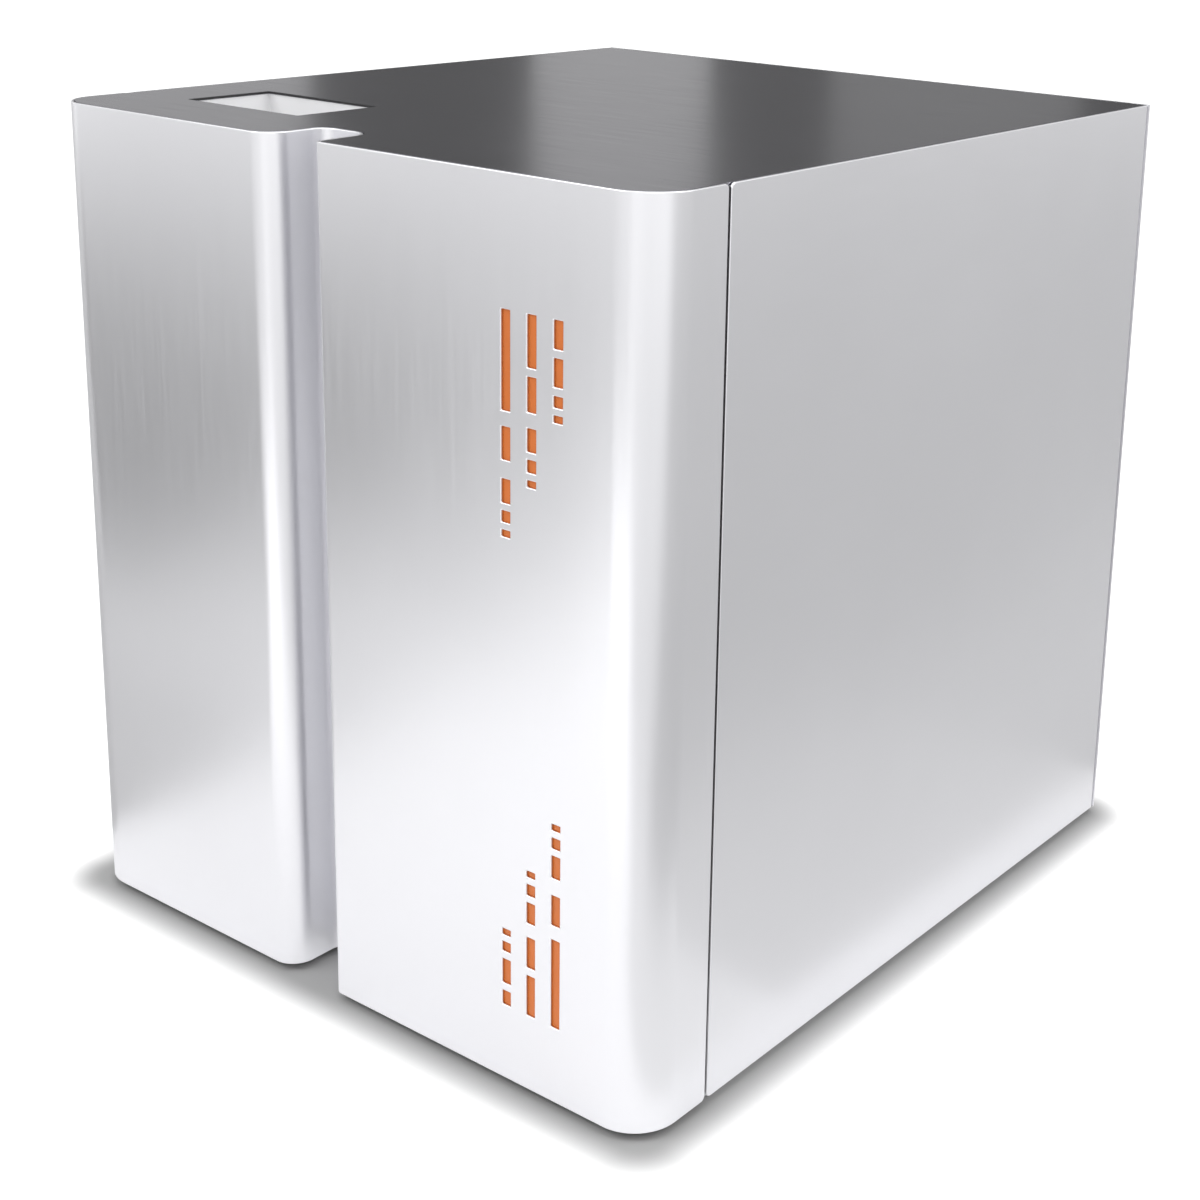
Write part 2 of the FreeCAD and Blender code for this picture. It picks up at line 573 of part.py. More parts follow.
# Control well
def make_well():
    x = "(-case_width / 2 + well_from_side - sheet_thick)"
    y = "(" + front + " + well_from_front - sheet_thick)"
    foot = "(" + cover_low + " - well_depth)"
    cup = box((x, y, foot), "well_length + 2 * sheet_thick", "well_width + 2 * sheet_thick", "well_depth")
    space = box((x + " + sheet_thick", y + " + sheet_thick", foot + " + sheet_thick"), "well_length",
                "well_width", "well_depth")
    middle_x = "(-case_width / 2 + well_from_side + well_length / 2)"
    middle_y = "(" + front + " + well_from_front + well_width / 2)"
    floor = "(" + foot + " + sheet_thick)"
    button = (middle_x + " + button_shift", middle_y)
    outer = "(button_radius + moving_gap + bezel_wall)"
    hole = rod((button[0], button[1], foot + " - cut_over"), outer + " - bezel_wall / 2",
               "sheet_thick + 2 * cut_over")
    node("well_liner", cut(cup, space, hole))
    screen = (middle_x + " - display_shift - display_length / 2", middle_y + " - display_width / 2", floor)
    housing = box(screen, "display_length", "display_width", "display_height")
    recess = box((screen[0] + " + window_border", screen[1] + " + window_border",
                  floor + " + display_height - window_thick"),
                 "display_length - 2 * window_border", "display_width - 2 * window_border",
                 "window_thick + cut_over")
    node("display_module", cut(housing, recess))
    node("display_window", box((screen[0] + " + window_border", screen[1] + " + window_border",
                                floor + " + display_height - window_thick"),
                               "display_length - 2 * window_border", "display_width - 2 * window_border",
                               "window_thick"))
    stem = "(button_stem - button_rise + button_travel + bezel_floor)"
    hollow = "(button_radius + moving_gap)"
    neck = outer + " - bezel_wall / 2 - fit_gap"
    profile = [("0", "-" + stem), (neck, "-" + stem), (neck, "0"), (outer, "0"), (outer, "bezel_rise"),
               (hollow, "bezel_rise")]
    profile += [(hollow, "-" + stem + " + bezel_floor"), ("0", "-" + stem + " + bezel_floor")]
    node("button_bezel", turned("button_bezel", profile, (button[0], button[1], floor)))
    cap = [("0", "button_rise - button_stem"), ("button_radius", "button_rise - button_stem"),
           ("button_radius", "button_rise - button_round")]
    cap += [("button_radius - button_round", "button_rise"), ("0", "button_rise")]
    node("power_button", turned("power_button", cap, (button[0], button[1], floor)))


# Air treatment
def column(index):
    return "(column_first + " + str(index) + " * column_pitch)"


bowl_y = "(" + plate_front + " - bowl_axis)"
reg_y = "(" + plate_front + " - regulator_length / 2)"
names = ("nitrogen", "source", "exhaust")
stages = ("particle", "oil", "vapour")


def make_plate():
    wall = box(("plate_left", plate_front, deck), "plate_right - plate_left", "plate_thick",
               "plate_top - " + deck)
    foot = box(("plate_left", plate_front, deck), "plate_right - plate_left", "plate_foot", "plate_thick")
    holes = []
    for index in range(3):
        spot = (column(index), plate_front + " - cut_over", "regulator_height")
        holes.append(rod(spot, "collar_radius + fit_gap", "plate_thick + 2 * cut_over", "y"))
    node("pneumatics_plate", cut(fuse(wall, foot), *holes))


def make_filters():
    start = column(0) + " - head_end"
    length = "2 * column_pitch + 2 * head_end"
    head = box((start, plate_front + " - head_depth", "head_low"), length, "head_depth", "head_height")
    spigots = [head]
    seals = []
    elements = []
    inside = "(bowl_radius - bowl_wall)"
    spigot = "(" + inside + " - spigot_gap)"
    for index in range(3):
        spigots.append(rod((column(index), bowl_y, "head_low - spigot_length"), spigot,
                           "spigot_length + cut_over"))
        ring = [(spigot, "0"), (inside + " - moving_gap", "0"), (inside + " - moving_gap", "seal_height"),
                (spigot, "seal_height")]
        seals.append(turned("seal", ring, (column(index), bowl_y,
                                           "head_low - spigot_length + seal_height")))
        cap_foot = "element_cap_height - element_length"
        cartridge = [("0", "-element_length"), ("element_cap", "-element_length"),
                     ("element_cap", cap_foot)]
        cartridge += [("element_radius", cap_foot), ("element_radius", "-element_cap_height")]
        cartridge += [("element_cap", "-element_cap_height"), ("element_cap", "0"), ("0", "0")]
        elements.append(turned("element", cartridge, (column(index), bowl_y, "head_low - spigot_length")))
        outer = "bowl_radius"
        down = "-bowl_length"
        bowl = [("0", down), ("drain_radius", down), ("drain_radius", down + " + drain_length")]
        bowl += [(outer + " - bowl_round", down + " + drain_length"),
                 (outer, down + " + drain_length + bowl_round")]
        bowl += [(outer, "-bowl_collar_height"), (outer + " + bowl_collar", "-bowl_collar_height"),
                 (outer + " + bowl_collar", "0")]
        bowl += [(inside, "0"), (inside, down + " + drain_length + bowl_round + bowl_shoulder")]
        bowl += [(inside + " - bowl_round", down + " + drain_length + bowl_wall"),
                 ("0", down + " + drain_length + bowl_wall")]
        label = stages[index] + "_filter_bowl"
        node(label, turned(label, bowl, (column(index), bowl_y, "head_low - moving_gap")))
    node("filter_head", fuse(*spigots))
    node("bowl_seals", group(*seals))
    node("filter_elements", group(*elements))


def make_regulators():
    bodies = []
    for index in range(3):
        shape = [("0", "0"), ("regulator_radius", "0"), ("regulator_radius", "regulator_length")]
        shape += [("bonnet_radius", "regulator_length"),
                  ("bonnet_radius", "regulator_length + bonnet_length")]
        shape += [("spindle_radius", "regulator_length + bonnet_length")]
        shape += [("spindle_radius", "regulator_length + bonnet_length + spindle_length")]
        shape += [("0", "regulator_length + bonnet_length + spindle_length")]
        bodies.append(turned("regulator", shape, (column(index), plate_front, "regulator_height"), "-y"))
        bore = "(spindle_radius + running_gap)"
        knob = [(bore, "0"), ("knob_radius", "0"), ("knob_radius", "knob_length - knob_round")]
        knob += [("knob_radius - knob_round", "knob_length")]
        knob += [("0", "knob_length"), ("0", "spindle_length"), (bore, "spindle_length")]
        start = plate_front + " - regulator_length - bonnet_length - moving_gap"
        blank = turned("knob", knob, (column(index), start, "regulator_height"), "-y")
        flutes = []
        for step in range(flute_count):
            flute = doc.addObject("Part::Cylinder", "flute")
            bind(flute, Radius="knob_flute_radius", Height="knob_length + 2 * cut_over")
            turn = FreeCAD.Rotation(FreeCAD.Vector(0, 1, 0), step * 360 / flute_count)
            spot = turn.multVec(FreeCAD.Vector(value("knob_radius + knob_flute_radius / 2"), 0, 0))
            base = FreeCAD.Vector(value(column(index)), value(start + " + cut_over"),
                                  value("regulator_height"))
            flute.Placement = FreeCAD.Placement(base + spot, turns["-y"])
            flutes.append(flute)
        node(names[index] + "_knob", cut(blank, *flutes))
    node("regulator_bodies", group(*bodies))


def make_gauges():
    cases = []
    dials = []
    lenses = []
    bore = "(gauge_radius - gauge_wall)"
    for index in range(3):
        at = (column(index), plate_front, "gauge_height")
        face = "gauge_stem + gauge_wall"
        rim = "gauge_stem + gauge_depth"
        pin = "needle_pin_radius"
        shape = [("0", "0"), ("gauge_stem_radius", "0"), ("gauge_stem_radius", "gauge_stem"),
                 ("gauge_radius", "gauge_stem")]
        shape += [("gauge_radius", rim), (bore, rim), (bore, face), (pin, face)]
        shape += [(pin, face + " + dial_thick + needle_lift"), ("0", face + " + dial_thick + needle_lift")]
        cases.append(turned("gauge_case", shape, at, "-y"))
        dial = [(pin + " + fit_gap", face), (bore + " - fit_gap", face),
                (bore + " - fit_gap", face + " + dial_thick"), (pin + " + fit_gap", face + " + dial_thick")]
        dials.append(turned("dial", dial, at, "-y"))
        outside = rim + " - lens_inset"
        lens = [("0", outside + " - lens_thick"), (bore + " - lens_gap", outside + " - lens_thick")]
        lens += [(bore + " - lens_gap", outside), ("0", outside)]
        lenses.append(turned("lens", lens, at, "-y"))
        hub_at = plate_front + " - " + face.replace(" + ", " - ") + " - dial_thick - needle_lift"
        hub = rod((column(index), hub_at, "gauge_height"), "needle_hub_radius",
                  "needle_lift - needle_clear", "y")
        bar = box((column(index) + " - needle_width / 2", hub_at, "gauge_height - needle_tail"),
                  "needle_width", "needle_thick", "needle_tail + needle_reach")
        hole_at = (column(index), hub_at + " - cut_over", "gauge_height")
        hole = rod(hole_at, pin + " + running_gap", "needle_lift + cut_over", "y")
        node(names[index] + "_needle", cut(fuse(hub, bar), hole))
    node("gauge_cases", group(*cases))
    node("gauge_dials", group(*dials))
    node("gauge_lenses", group(*lenses))


# Gas separation
def module_y(index):
    return "(" + frame_front + " + module_first + " + str(index) + " * module_pitch)"


dryer_y = "(" + frame_front + " + module_first + module_pitch + dryer_pitch)"


def make_modules():
    caps = []
    tubes = []
    spots = [(module_y(0), "module_radius", "cap_radius"), (module_y(1), "module_radius", "cap_radius")]
    spots.append((dryer_y, "dryer_radius", "dryer_radius + dryer_cap_rim"))
    clamps = []
    panel_side = "(-case_width / 2 + 2 * sheet_thick + 2 * fit_gap + sheet_thick)"
    for y, radius, cap in spots:
        tubes.append(rod((module_x, y, "module_low + cap_height"), radius,
                         "module_length - 2 * cap_height"))
        for foot in ("module_low", "module_low + module_length - cap_height"):
            profile = [("0", "0"), (cap + " - cap_round", "0"), (cap, "cap_round"),
                       (cap, "cap_height - cap_round")]
            profile += [(cap + " - cap_round", "cap_height"), ("0", "cap_height")]
            caps.append(turned("cap", profile, (module_x, y, foot)))
        for foot in ("clamp_low", "clamp_high"):
            reach = "(" + radius + " + clamp_wall)"
            block = box((panel_side, y + " - " + reach, foot),
                        module_x + " - " + panel_side + " + " + reach, "2 * " + reach, "clamp_height")
            bore = rod((module_x, y, foot + " - cut_over"), radius + " + clamp_bore_gap",
                       "clamp_height + 2 * cut_over")
            clamps.append(cut(block, bore))
    node("nitrogen_membranes", group(tubes[0], tubes[1]))
    node("membrane_dryer", tubes[2])
    node("module_end_caps", group(*caps))
    node("module_clamps", group(*clamps))
    start = panel_side + " - sheet_thick"
    wall = box((start, frame_front + " + bracket_front", deck), "sheet_thick", "bracket_length",
               "bracket_height")
    foot = box((start, frame_front + " + bracket_front", deck), "plate_foot", "bracket_length",
               "sheet_thick")
    node("module_bracket", fuse(wall, foot))


tank_y = "(" + back + " - tank_from_back)"


def make_tank():
    profile = [("0", "0"), ("tank_radius - tank_round", "0"), ("tank_radius", "tank_shoulder")]
    profile += [("tank_radius", "tank_length - tank_shoulder"),
                ("tank_radius - tank_round", "tank_length"), ("boss_radius", "tank_length")]
    profile += [("boss_radius", "tank_length + boss_height"), ("0", "tank_length + boss_height")]
    node("receiver_tank", turned("receiver_tank", profile, ("tank_side", tank_y, "tank_low")))
    outer = "(tank_radius - tank_round)"
    ring = [(outer + " - ring_wall", "0"), (outer, "0"), (outer, "tank_low - " + deck),
            (outer + " - ring_wall", "tank_low - " + deck)]
    node("tank_foot_ring", turned("tank_foot_ring", ring, ("tank_side", tank_y, deck)))


def make_valves():
    node("valve_block", box(("valve_left", plate_back, "valve_low"), "valve_length", "valve_depth",
                            "valve_height"))
    coils = []
    for index in range(3):
        x = "valve_left + coil_inset + " + str(index) + " * coil_pitch"
        coil_at = (x, plate_back + " + coil_step", "valve_low + valve_height")
        coil = box(coil_at, "coil_width", "valve_depth - 2 * coil_step", "coil_height")
        armature = rod((x + " + coil_width / 2", plate_back + " + valve_depth / 2",
                        "valve_low + valve_height + coil_height"),
                       "collar_radius", "armature_height")
        coils.append(fuse(coil, armature))
    node("solenoid_valves", group(*coils))


# Tubes: straight runs joined by round bends
def tube(points, radius="tube_radius"):
    spots = [FreeCAD.Vector(*[value(text) for text in point]) for point in points]
    bend = value("tube_bend")
    edges = []
    start = spots[0]
    for before, corner, after in zip(spots, spots[1:], spots[2:]):
        inward = (corner - before).normalize()
        outward = (after - corner).normalize()
        reach = bend * abs((inward - outward).Length / (inward + outward).Length)
        enter = corner - inward * reach
        leave = corner + outward * reach
        bisector = (outward - inward).normalize()
        centre = corner + bisector * (bend ** 2 + reach ** 2) ** 0.5
        edges.append(Part.LineSegment(start, enter).toShape())
        edges.append(Part.Arc(enter, centre - bisector * bend, leave).toShape())
        start = leave
    edges.append(Part.LineSegment(start, spots[-1]).toShape())
    path = Part.Wire(edges)
    face = Part.Face(Part.Wire([Part.Circle(spots[0], spots[1] - spots[0], value(radius)).toShape()]))
    thing = doc.addObject("Part::Feature", "tube")
    thing.Shape = path.makePipe(face)
    return thing


def make_tubes():
    port_end = back + " - sheet_thick - port_inside"
    head_left = column(0) + " - head_end"
    cap_side = module_x + " + cap_radius"
    cap_mid = "module_low + cap_height / 2"
    cap_top = "module_low + module_length"
    lane = "plate_left - lane_gap"
    high = cap_top + " + loop_rise"
    runs = []
    stop = frame_front + " + air_in_turn"
    port_z = "head_low + head_port_edge"
    port_y = bowl_y + " - head_port_forward"
    runs.append([("port_first", port_end, "air_in_height"), ("port_first", stop, "air_in_height"),
                 (lane, stop, "air_in_height"),
                 (lane, stop, port_z), (lane, port_y, port_z), (head_left, port_y, port_z)])
    mid_valve = "valve_low + valve_height / 2"
    drop = module_x + " + cap_radius + valve_tube_side"
    runs.append([("valve_left", module_y(0), mid_valve), (drop, module_y(0), mid_valve),
                 (drop, module_y(0), cap_mid),
                 (cap_side, module_y(0), cap_mid)])
    runs.append([(module_x, module_y(0), cap_top), (module_x, module_y(0), high),
                 (module_x, module_y(1), high), (module_x, module_y(1), cap_top)])
    runs.append([(cap_side, module_y(1), cap_mid), ("tank_side", module_y(1), cap_mid),
                 ("tank_side", module_y(1), "air_in_height + tank_port_lift"),
                 ("tank_side", tank_y + " - tank_radius", "air_in_height + tank_port_lift")])
    tank_top = "tank_low + tank_length + boss_height"
    arch = tank_top + " + tank_loop_rise"
    runs.append([("tank_side", tank_y, tank_top), ("tank_side", tank_y, arch), ("tank_side", reg_y, arch),
                 ("tank_side", reg_y, "regulator_height"), (column(0) + " - regulator_radius", reg_y,
                                                            "regulator_height")])
    over = cap_top + " + dryer_loop_rise"
    out = "head_low + head_height - head_port_edge"
    out_y = bowl_y + " + head_port_backward"
    dry_lane = "plate_left - dryer_lane"
    runs.append([(head_left, out_y, out), (dry_lane, out_y, out), (dry_lane, out_y, over),
                 (dry_lane, dryer_y, over), (module_x, dryer_y, over), (module_x, dryer_y, cap_top)])
    runs.append([(module_x, dryer_y + " + dryer_radius + dryer_cap_rim", cap_mid),
                 (module_x, back + " - sheet_thick - vent_seat", cap_mid)])
    for index in (1, 2):
        runs.append([(column(index), reg_y, "head_low + head_height"),
                     (column(index), reg_y, "regulator_height - regulator_radius")])
    for index in range(3):
        turn_y = frame_front + " + outlet_turn + " + str(index) + " * outlet_turn_pitch"
        port_x = "port_first + " + str(index) + " * port_pitch"
        route = [(column(index), plate_back + " + collar_length", "regulator_height"),
                 (column(index), turn_y, "regulator_height")]
        if index:
            route.append((port_x, turn_y, "regulator_height"))
        route += [(port_x, turn_y, "outlet_height"), (port_x, port_end, "outlet_height")]
        runs.append(route)
    node("air_tubing", group(*[tube(run) for run in runs]))
    collars = []
    for index in range(3):
        collars.append(rod((column(index), plate_front, "regulator_height"), "collar_radius",
                           "plate_thick + collar_length", "y"))
    node("tube_fittings", group(*collars))


# Electrics
def make_electrics():
    supply_y = back + " - supply_from_back - supply_depth"
    can = box(("supply_left", supply_y, deck), "supply_width", "supply_depth", "supply_height")
    vents = []
    for step in range(6):
        across = "supply_left + supply_slot_first + " + str(step) + " * supply_slot_pitch"
        spot = (across, supply_y + " + supply_slot_edge", deck + " + supply_height - supply_slot_deep")
        vents.append(box(spot, "supply_slot_width", "supply_depth - 2 * supply_slot_edge",
                         "2 * supply_slot_deep"))
    node("power_supply", cut(can, *vents))
    board_y = frame_front + " + board_from_frame"
    board_z = deck + " + board_height"
    node("control_board", box(("board_left", board_y, board_z), "board_width", "board_depth",
                              "board_thick"))
    deck_z = board_z + " + board_thick"
    things = []
    for step in range(3):
        spot = ("board_left + relay_first + " + str(step) + " * relay_pitch", board_y + " + relay_front",
                deck_z)
        things.append(box(spot, "relay_width", "relay_depth", "relay_height"))
    chip_at = ("board_left + chip_left", board_y + " + chip_front", deck_z)
    things.append(box(chip_at, "chip_side", "chip_side", "chip_height"))
    strip_at = ("board_left + board_width - strip_inset", board_y + " + strip_front", deck_z)
    things.append(box(strip_at, "strip_width", "strip_length", "strip_height"))
    for step in range(2):
        spot = ("board_left + can_left", board_y + " + can_front + " + str(step) + " * can_pitch", deck_z)
        things.append(rod(spot, "can_radius", "can_height"))
    node("board_components", group(*things))
    plug_x = "board_left + board_width - plug_inset"
    loom_x = "supply_left + loom_inset"
    loom_y = board_y + " + loom_front"
    loom_z = deck_z + " + loom_lift"
    first = [(loom_x, supply_y, loom_z), (loom_x, loom_y, loom_z), (plug_x, loom_y, loom_z)]
    behind = back + " - sheet_thick - fan_depth / 2"
    ahead = behind + " - fan_wire_reach"
    fan_foot = "fan_height - fan_side / 2"
    bend_z = fan_foot + " - fan_wire_drop"
    second = [("fan_across", behind, fan_foot), ("fan_across", behind, bend_z),
              ("fan_across", ahead, bend_z)]
    second.append(("fan_across", ahead, deck + " + supply_height"))
    node("wiring_loom", group(tube(first), tube(second)))


def make_fan():
    inner_face = back + " - sheet_thick - fan_depth"
    corner = ("fan_across - fan_side / 2", inner_face, "fan_height - fan_side / 2")
    block = box(corner, "fan_side", "fan_depth", "fan_side")
    before = inner_face + " - cut_over"
    through = "fan_depth + 2 * cut_over"
    bore = rod(("fan_across", before, "fan_height"), "fan_bore", through, "y")
    screw_holes = [rod((x, before, z), "screw_radius + fit_gap", through, "y")
                   for x, z in fan_screw_spots()]
    ring = cut(block, bore, *screw_holes)
    seat = rod(("fan_across", inner_face, "fan_height"), "fan_hub", "strut_thick", "y")
    pin = rod(("fan_across", inner_face, "fan_height"), "fan_pin", "fan_depth - pin_short", "y")
    reach = "(fan_bore + cut_over)"
    level_at = ("fan_across - " + reach, inner_face, "fan_height - strut_width / 2")
    level = box(level_at, "2 * " + reach, "strut_thick", "strut_width")
    upright_at = ("fan_across - strut_width / 2", inner_face, "fan_height - " + reach)
    upright = box(upright_at, "strut_width", "strut_thick", "2 * " + reach)
    node("fan_frame", fuse(ring, seat, pin, level, upright))
    start = inner_face + " + strut_thick + moving_gap"
    hub = rod(("fan_across", start, "fan_height"), "fan_hub - hub_gap", "fan_depth - hub_short", "y")
    blades = [hub]
    middle = FreeCAD.Vector(value("fan_across"), value(start + " + (fan_depth - hub_short) / 2"),
                            value("fan_height"))
    for step in range(blade_count):
        blade = doc.addObject("Part::Box", "blade")
        bind(blade, Length="blade_tip - fan_hub + blade_root", Width="blade_width", Height="blade_thick")
        pitch = FreeCAD.Rotation(FreeCAD.Vector(1, 0, 0), value("blade_angle"))
        around = FreeCAD.Rotation(FreeCAD.Vector(0, 1, 0), step * 360 / blade_count)
        corner_in = FreeCAD.Vector(value("fan_hub - blade_root"), -value("blade_width / 2"),
                                   -value("blade_thick / 2"))
        turn = around.multiply(pitch)
        blade.Placement = FreeCAD.Placement(middle + turn.multVec(corner_in), turn)
        blades.append(blade)
    hole = rod(("fan_across", start + " - cut_over", "fan_height"), "fan_pin + running_gap", "fan_depth",
               "y")
    node("fan_rotor", cut(fuse(*blades), hole))


# Rear connections
def make_ports():
    bodies = []
    nuts = []
    for x, z in port_spots():
        shape = [("port_bore", "-port_bore_depth + port_reach"), ("port_bore", "port_reach"),
                 ("port_flange_radius - port_round", "port_reach")]
        shape += [("port_flange_radius", "port_reach - port_round"), ("port_flange_radius", "0"),
                  ("port_body_radius", "0")]
        shape += [("port_body_radius", "-sheet_thick - port_inside"),
                  ("port_passage", "-sheet_thick - port_inside")]
        shape += [("port_passage", "-port_bore_depth + port_reach")]
        bodies.append(turned("port", shape, (x, back, z), "y"))
        disc = doc.addObject("Part::Prism", "nut")
        disc.Polygon = 6
        disc.Placement.Rotation = turns["-y"]
        bind(disc, Circumradius="nut_radius", Height="nut_thick")
        place(disc, (x, back + " - sheet_thick", z))
        bore_at = (x, back + " - sheet_thick - nut_thick - cut_over", z)
        bore = rod(bore_at, "port_body_radius + nut_gap", "nut_thick + 2 * cut_over", "y")
        nuts.append(cut(disc, bore))
    node("gas_ports", group(*bodies))
    node("port_nuts", group(*nuts))
    mouth = "module_low + cap_height / 2"
    shape = [("0", "-sheet_thick - vent_seat"), ("collar_radius", "-sheet_thick - vent_seat"),
             ("collar_radius", "0")]
    shape += [("vent_radius", "0"), ("vent_radius", "port_reach - vent_round")]
    shape += [("vent_radius - vent_round", "port_reach"), ("0", "port_reach")]
    node("vent_silencer", turned("vent_silencer", shape, (module_x, back, mouth), "y"))


def make_inlet():
    x = "inlet_across"
    body = box((x + " - inlet_width / 2", back + " - inlet_depth", "inlet_low"), "inlet_width",
               "inlet_depth", "inlet_height")
    flange = box((x + " - inlet_width / 2 - inlet_flange", back, "inlet_low - inlet_flange"),
                 "inlet_width + 2 * inlet_flange", "inlet_flange_thick", "inlet_height + 2 * inlet_flange")
    mouth = back + " + inlet_flange_thick"
    socket_low = "inlet_low + socket_lift"
    socket = box((x + " - socket_width / 2", mouth + " - socket_depth", socket_low), "socket_width",
                 "socket_depth + cut_over", "socket_height")
    drawer_space = box((x + " - drawer_width / 2 - moving_gap", mouth + " - drawer_length - moving_gap",
                        "drawer_low - moving_gap"),
                       "drawer_width + 2 * moving_gap", "drawer_length + 2 * cut_over",
                       "drawer_height + 2 * moving_gap")
    node("power_inlet", cut(fuse(body, flange), socket, drawer_space))
    pins = []
    for step in (-1, 0, 1):
        rise = " + pin_offset" if step == 0 else " - pin_offset"
        middle = socket_low + " + socket_height / 2" + rise
        pins.append(box((x + " + " + str(step) + " * pin_pitch - blade_pin_thick / 2",
                         mouth + " - socket_depth", middle + " - blade_pin_width / 2"),
                        "blade_pin_thick", "blade_pin_length", "blade_pin_width"))
    node("inlet_pins", group(*pins))
    tray = box((x + " - drawer_width / 2", mouth + " - drawer_length", "drawer_low"), "drawer_width",
               "drawer_length", "drawer_height")
    grip = box((x + " - drawer_width / 4", mouth, "drawer_low + drawer_height / 2 - drawer_grip / 2"),
               "drawer_width / 2", "grip_thick", "drawer_grip")
    space_at = (x + " - drawer_width / 2 + drawer_wall", mouth + " - drawer_length + drawer_wall",
                "drawer_low + drawer_wall")
    length = "drawer_length - drawer_wall - drawer_front"
    fuse_space = box(space_at, "drawer_width - 2 * drawer_wall", length, "drawer_height")
    node("fuse_drawer", cut(fuse(tray, grip), fuse_space))


def make_switch():
    x = "switch_across"
    z = "switch_height"
    body = box((x + " - switch_width / 2", back + " - switch_depth", z + " - switch_length / 2"),
               "switch_width", "switch_depth", "switch_length")
    flange = box((x + " - switch_width / 2 - switch_flange", back,
                  z + " - switch_length / 2 - switch_flange"),
                 "switch_width + 2 * switch_flange", "switch_flange_thick",
                 "switch_length + 2 * switch_flange")
    recess = box((x + " - switch_recess_width / 2", back + " - switch_recess_depth",
                  z + " - switch_recess_length / 2"),
                 "switch_recess_width", "switch_recess_depth + 2 * switch_flange_thick",
                 "switch_recess_length")
    pin_at = (x + " - switch_recess_width / 2 - cut_over", back + " - rocker_pivot", z)
    pin = rod(pin_at, "rocker_pin", "switch_recess_width + 2 * cut_over", "x")
    node("switch_frame", fuse(cut(fuse(body, flange), recess), pin))
    body = new_body("rocker_form")
    shape = [("-rocker_back", "-rocker_waist"), ("rocker_face", "-rocker_half"), ("rocker_dip", "0"),
             ("rocker_face", "rocker_half")]
    shape += [("-rocker_back", "rocker_waist")]
    pad(body, outline(body, "YZ", shape, "-rocker_width / 2"), "rocker_width")
    body.Placement.Rotation = FreeCAD.Rotation(FreeCAD.Vector(1, 0, 0), -value("rocker_tilt"))
    place(body, (x, back + " - rocker_pivot", z))
    hole = rod((x + " - switch_width / 2", back + " - rocker_pivot", z), "rocker_pin + running_gap",
               "switch_width", "x")
    node("power_rocker", cut(body, hole))


make_fascia()
make_studs()
make_base()
make_feet()
side_panel("left_side_panel", "-")
side_panel("right_side_panel", "")
make_cover()
make_front_frame()
make_rear_panel()
make_screws()
make_well()
make_plate()
make_filters()
make_regulators()
make_gauges()
make_modules()
make_tank()
make_valves()
make_tubes()
make_electrics()
make_fan()
make_ports()
make_inlet()
make_switch()
doc.recompute()

for thing in doc.Objects:
    if "Invalid" in thing.State or "Error" in thing.State:
        raise RuntimeError("not built: " + thing.Label + " " + str(thing.State))

for piece in pieces:
    shape = piece.Shape
    if shape.isNull() or not shape.isValid() or not shape.Solids:
        raise RuntimeError("bad shape: " + piece.Label)
    shape.exportStep("parts/" + piece.Label + ".step")
    print(piece.Label, len(shape.Solids), round(shape.Volume / 1000, 2))
print(len(pieces), "nodes")
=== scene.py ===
import json
import math

import bmesh
import bpy
from mathutils import Matrix, Vector


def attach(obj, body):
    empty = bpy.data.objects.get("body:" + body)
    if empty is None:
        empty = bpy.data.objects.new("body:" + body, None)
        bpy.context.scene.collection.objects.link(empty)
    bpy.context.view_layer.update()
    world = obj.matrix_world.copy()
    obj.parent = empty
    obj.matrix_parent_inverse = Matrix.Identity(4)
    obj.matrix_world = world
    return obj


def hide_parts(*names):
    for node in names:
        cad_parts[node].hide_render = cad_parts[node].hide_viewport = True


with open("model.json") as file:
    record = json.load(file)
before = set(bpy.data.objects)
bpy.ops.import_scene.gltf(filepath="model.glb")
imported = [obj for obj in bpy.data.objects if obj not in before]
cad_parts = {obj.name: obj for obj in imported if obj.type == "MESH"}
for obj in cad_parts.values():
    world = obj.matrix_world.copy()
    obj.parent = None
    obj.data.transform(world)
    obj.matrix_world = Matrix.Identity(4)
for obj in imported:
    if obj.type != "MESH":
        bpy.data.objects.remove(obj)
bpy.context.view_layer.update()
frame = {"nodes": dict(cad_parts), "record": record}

cadNodes = frame["nodes"]
record = frame["record"]
bodyOfNode = {node: body for body, members in record["behaviour"]["bodies"].items() for node in members}
slotOfNode = {part["node"]: part["material_slot"] for part in record["subparts"]}


# Materials: every finish reads object coordinates
def startFinish(name, **sockets):
    finish = bpy.data.materials.new(name)
    finish.use_nodes = True
    shader = finish.node_tree.nodes["Principled BSDF"]
    for socket, amount in sockets.items():
        if isinstance(amount, tuple):
            amount = (*amount, 1.0)
        shader.inputs[socket.replace("_", " ")].default_value = amount
    return finish, finish.node_tree, shader


def addNode(tree, kind, **sockets):
    node = tree.nodes.new("ShaderNode" + kind)
    for socket, amount in sockets.items():
        node.inputs[socket.replace("_", " ")].default_value = amount
    return node


def grain(tree, scale, stretch=(1, 1, 1), detail=4.0):
    # noise over the object, drawn out along one way for brushed metal
    coords = addNode(tree, "TexCoord")
    mapping = addNode(tree, "Mapping", Scale=stretch)
    noise = addNode(tree, "TexNoise", Scale=scale, Detail=detail)
    tree.links.new(coords.outputs["Object"], mapping.inputs["Vector"])
    tree.links.new(mapping.outputs["Vector"], noise.inputs["Vector"])
    return noise.outputs["Fac"]


def between(tree, source, low, high, target):
    # spreads the middle of a noise over a span of values
    spread = addNode(tree, "MapRange", From_Min=0.3, From_Max=0.7, To_Min=low, To_Max=high)
    tree.links.new(source, spread.inputs["Value"])
    tree.links.new(spread.outputs["Result"], target)


